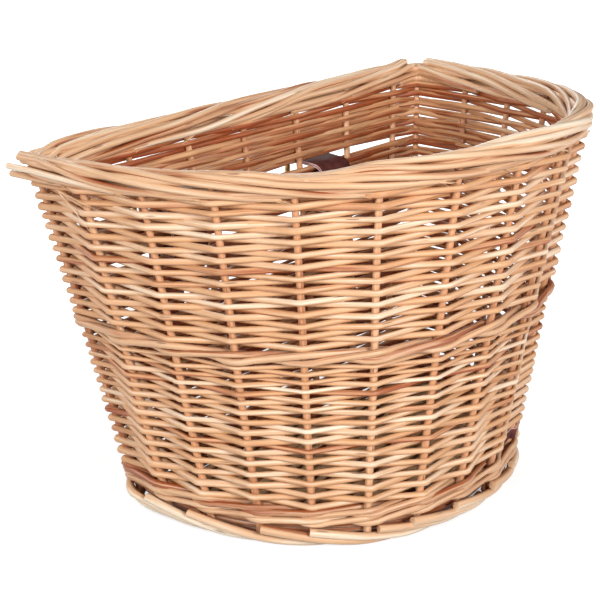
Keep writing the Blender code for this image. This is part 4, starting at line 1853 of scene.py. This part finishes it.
@dataclass
class Studio:
    """A white floor and surround, soft lamps and the camera."""

    target: tuple[float, float, float] = (-0.0182, -0.0377, 0.129)
    azimuth: float = -43.7
    elevation: float = 21.26
    distance: float = 1.2
    focal_pixels: float = 1663.0
    frame_pixels: float = 600.0
    sensor: float = 36.0
    clip_start: float = 0.05
    floor_size: float = 14
    floor_bounce: float = 0.38
    floor_seen: float = 0.45
    glow_near: float = 0.7
    glow_far: float = 0.4
    white: Pair = (0.2, 0.5)
    foot_reach: Pair = (0.145, 0.174)
    foot_front: Pair = (0.93, 1.0)
    foot_back: Pair = (-0.006, 0.002)
    surround: float = 0.08
    lamps: Sequence[Lamp] = (
        Lamp("key", (-0.4, -1.85, 0.9), 0.6, 35.5),
        Lamp("fill", (-1.85, -0.4, 0.9), 0.6, 25.0),
        Lamp("side", (1.7, -0.9, 0.9), 0.8, 8.0),
        Lamp("top", (0.1, 0.3, 2.0), 1.0, 2.0),
        Lamp("back_left", (-0.9, 1.7, 1.0), 0.9, 14.0),
        Lamp("back_right", (1.2, 1.5, 1.0), 0.9, 14.0),
    )
    lamp_target: tuple[float, float, float] = (0, -0.06, 0.13)

    def camera(self) -> None:
        """Sets the camera at the photograph's angle."""
        a, e = math.radians(self.azimuth), math.radians(self.elevation)
        back = Vector((math.sin(a) * math.cos(e), -math.cos(a) * math.cos(e), math.sin(e)))
        lens = bpy.data.cameras.new("view")
        lens.sensor_width = self.sensor
        lens.lens = self.focal_pixels / self.frame_pixels * self.sensor
        lens.clip_start = self.clip_start
        camera = bpy.data.objects.new("view", lens)
        camera.location = Vector(self.target) + back * self.distance
        camera.rotation_euler = back.to_track_quat("Z", "Y").to_euler()
        bpy.context.scene.collection.objects.link(camera)
        bpy.context.scene.camera = camera

    def floor(self) -> None:
        """Lays the pale floor, which keeps the basket's shadow."""
        floor = primitive("plane", size=self.floor_size, location=(0, 0, 0))
        floor.name = "floor"
        made = bpy.data.materials.new("pale_floor")
        made.use_nodes = True
        bench = NodeBench(made.node_tree)
        made.node_tree.nodes.remove(made.node_tree.nodes["Principled BSDF"])
        rays = bench.node("LightPath").outputs
        seen = bench.math("MAXIMUM", rays["Is Camera Ray"], rays["Is Glossy Ray"])
        seen = bench.math("MAXIMUM", seen, rays["Is Transmission Ray"])
        matt, shown = (
            bench.node("BsdfDiffuse", {"Color": (grey, grey, grey)}).outputs[0]
            for grey in (self.floor_bounce, self.floor_seen)
        )
        feeds = {"Color": (1.0, 1.0, 1.0), "Strength": self.glow(bench)}
        glow = bench.node("Emission", feeds).outputs[0]
        lit = bench.node("AddShader", {0: shown, 1: glow}).outputs[0]
        pick = bench.node("MixShader", {0: seen, 1: matt, 2: lit}).outputs[0]
        bench.feed(made.node_tree.nodes["Material Output"].inputs["Surface"], pick)
        floor.data.materials.append(made)

    def glow(self, bench: NodeBench) -> Socket:
        """Makes the floor's glow: white far off, weaker near the basket and none under its foot, a painted
        shadow there.

        Args:
            bench: The floor's tree.

        Returns:
            The glow's strength.
        """
        spot = bench.node("TexCoord").outputs["Object"]
        away = bench.node("VectorMath", {0: spot}, operation="LENGTH").outputs["Value"]
        foot = (*self.foot_reach, 1.0)
        spread = bench.node("VectorMath", {0: spot, 1: foot}, operation="DIVIDE").outputs[0]
        reach = bench.node("VectorMath", {0: spread}, operation="LENGTH").outputs["Value"]
        # Painted shadow: the glow is weaker near the basket and stops under its foot.
        past_front = bench.ramp(reach, *self.foot_front)
        past_back = bench.ramp(bench.node("SeparateXYZ", {0: spot}).outputs[1], *self.foot_back)
        strength = bench.line(self.glow_near, bench.ramp(away, *self.white), self.glow_far)
        return bench.math("MULTIPLY", strength, bench.math("MAXIMUM", past_front, past_back))

    def world(self) -> None:
        """Makes the even white surround."""
        world = bpy.data.worlds.new("surround")
        world.use_nodes = True
        bench = NodeBench(world.node_tree)
        rays = bench.node("LightPath").outputs
        seen = bench.math("MAXIMUM", rays["Is Camera Ray"], rays["Is Transmission Ray"])
        back = world.node_tree.nodes["Background"]
        bench.feed(back.inputs["Color"], (1.0, 1.0, 1.0))
        bench.feed(back.inputs["Strength"], bench.line(self.surround, seen, 1 - self.surround))
        bpy.context.scene.world = world

    def hang(self, lamp: Lamp) -> None:
        """Hangs one lamp so that it faces the basket.

        Args:
            lamp: The lamp.
        """
        light = bpy.data.lights.new(lamp.name, "AREA")
        light.size = lamp.size
        light.energy = lamp.power
        hung = bpy.data.objects.new(lamp.name, light)
        hung.location = lamp.place
        aim = Vector(lamp.place) - Vector(self.lamp_target)
        hung.rotation_euler = aim.to_track_quat("Z", "Y").to_euler()
        bpy.context.scene.collection.objects.link(hung)

    def build(self) -> None:
        """Sets the whole studio."""
        self.camera()
        self.floor()
        self.world()
        for lamp in self.lamps:
            self.hang(lamp)
        bpy.context.scene.view_settings.view_transform = "Standard"


def corners(box: tuple[Vector, Vector]) -> list[list[float]]:
    """Writes a box's two corners as plain lists."""
    return [[float(value) for value in corner] for corner in box]


def assemblies(wall: BasketWall) -> list[SubAssembly]:
    """Lists the basket's sub-assemblies in the order in which they are made.

    Args:
        wall: The wall that they follow.

    Returns:
        The sub-assemblies.
    """
    lower = WovenRows(
        wall,
        "lower",
        bottom=wall.upsett_top,
        top=wall.mid_wale_bottom,
        rows=28,
        course_tops=np.linspace(wall.upsett_top, wall.mid_wale_bottom, 5)[1:],
        rod_radius=0.0020,
        seed=41,
        thinning=0.2,
    )
    upper = WovenRows(
        wall,
        "upper",
        bottom=wall.mid_wale_top,
        top=wall.border_bottom + 0.0035,
        rows=26,
        course_tops=[
            wall.lower_slit,
            wall.upper_slit,
            (wall.upper_slit + wall.border_bottom) / 2,
            wall.height,
        ],
        rod_radius=0.00215,
        seed=61,
    )
    upsett = Wale(wall, "upsett_wale", (0.0212, 0.0268), lay_height=0.0036, rod_radius=0.0023, seed=31)
    middle = Wale(wall, "middle_wale", (0.138,), lay_height=0.0050, rod_radius=0.0024, seed=51)
    rim = RimBorder(wall)
    straps = [LeatherStrap(wall, side) for side in Side]
    return [
        Stakes(wall),
        FootBorder(wall),
        WovenFloor(wall),
        upsett,
        lower,
        middle,
        upper,
        rim,
        LooseFibres(wall, rim),
        *straps,
        *[Buckle(strap) for strap in straps],
        FrontLoop(wall),
    ]


def main() -> None:
    """Builds the studio and every sub-assembly."""
    logging.basicConfig(level=logging.INFO, format="%(name)s: %(message)s")
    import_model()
    Studio().build()
    for assembly in assemblies(BasketWall()):
        assembly.build()
        assembly.dress()
        LOG.info("%s is in place", type(assembly).__name__)
    select_only()


if __name__ == "__main__":
    main()
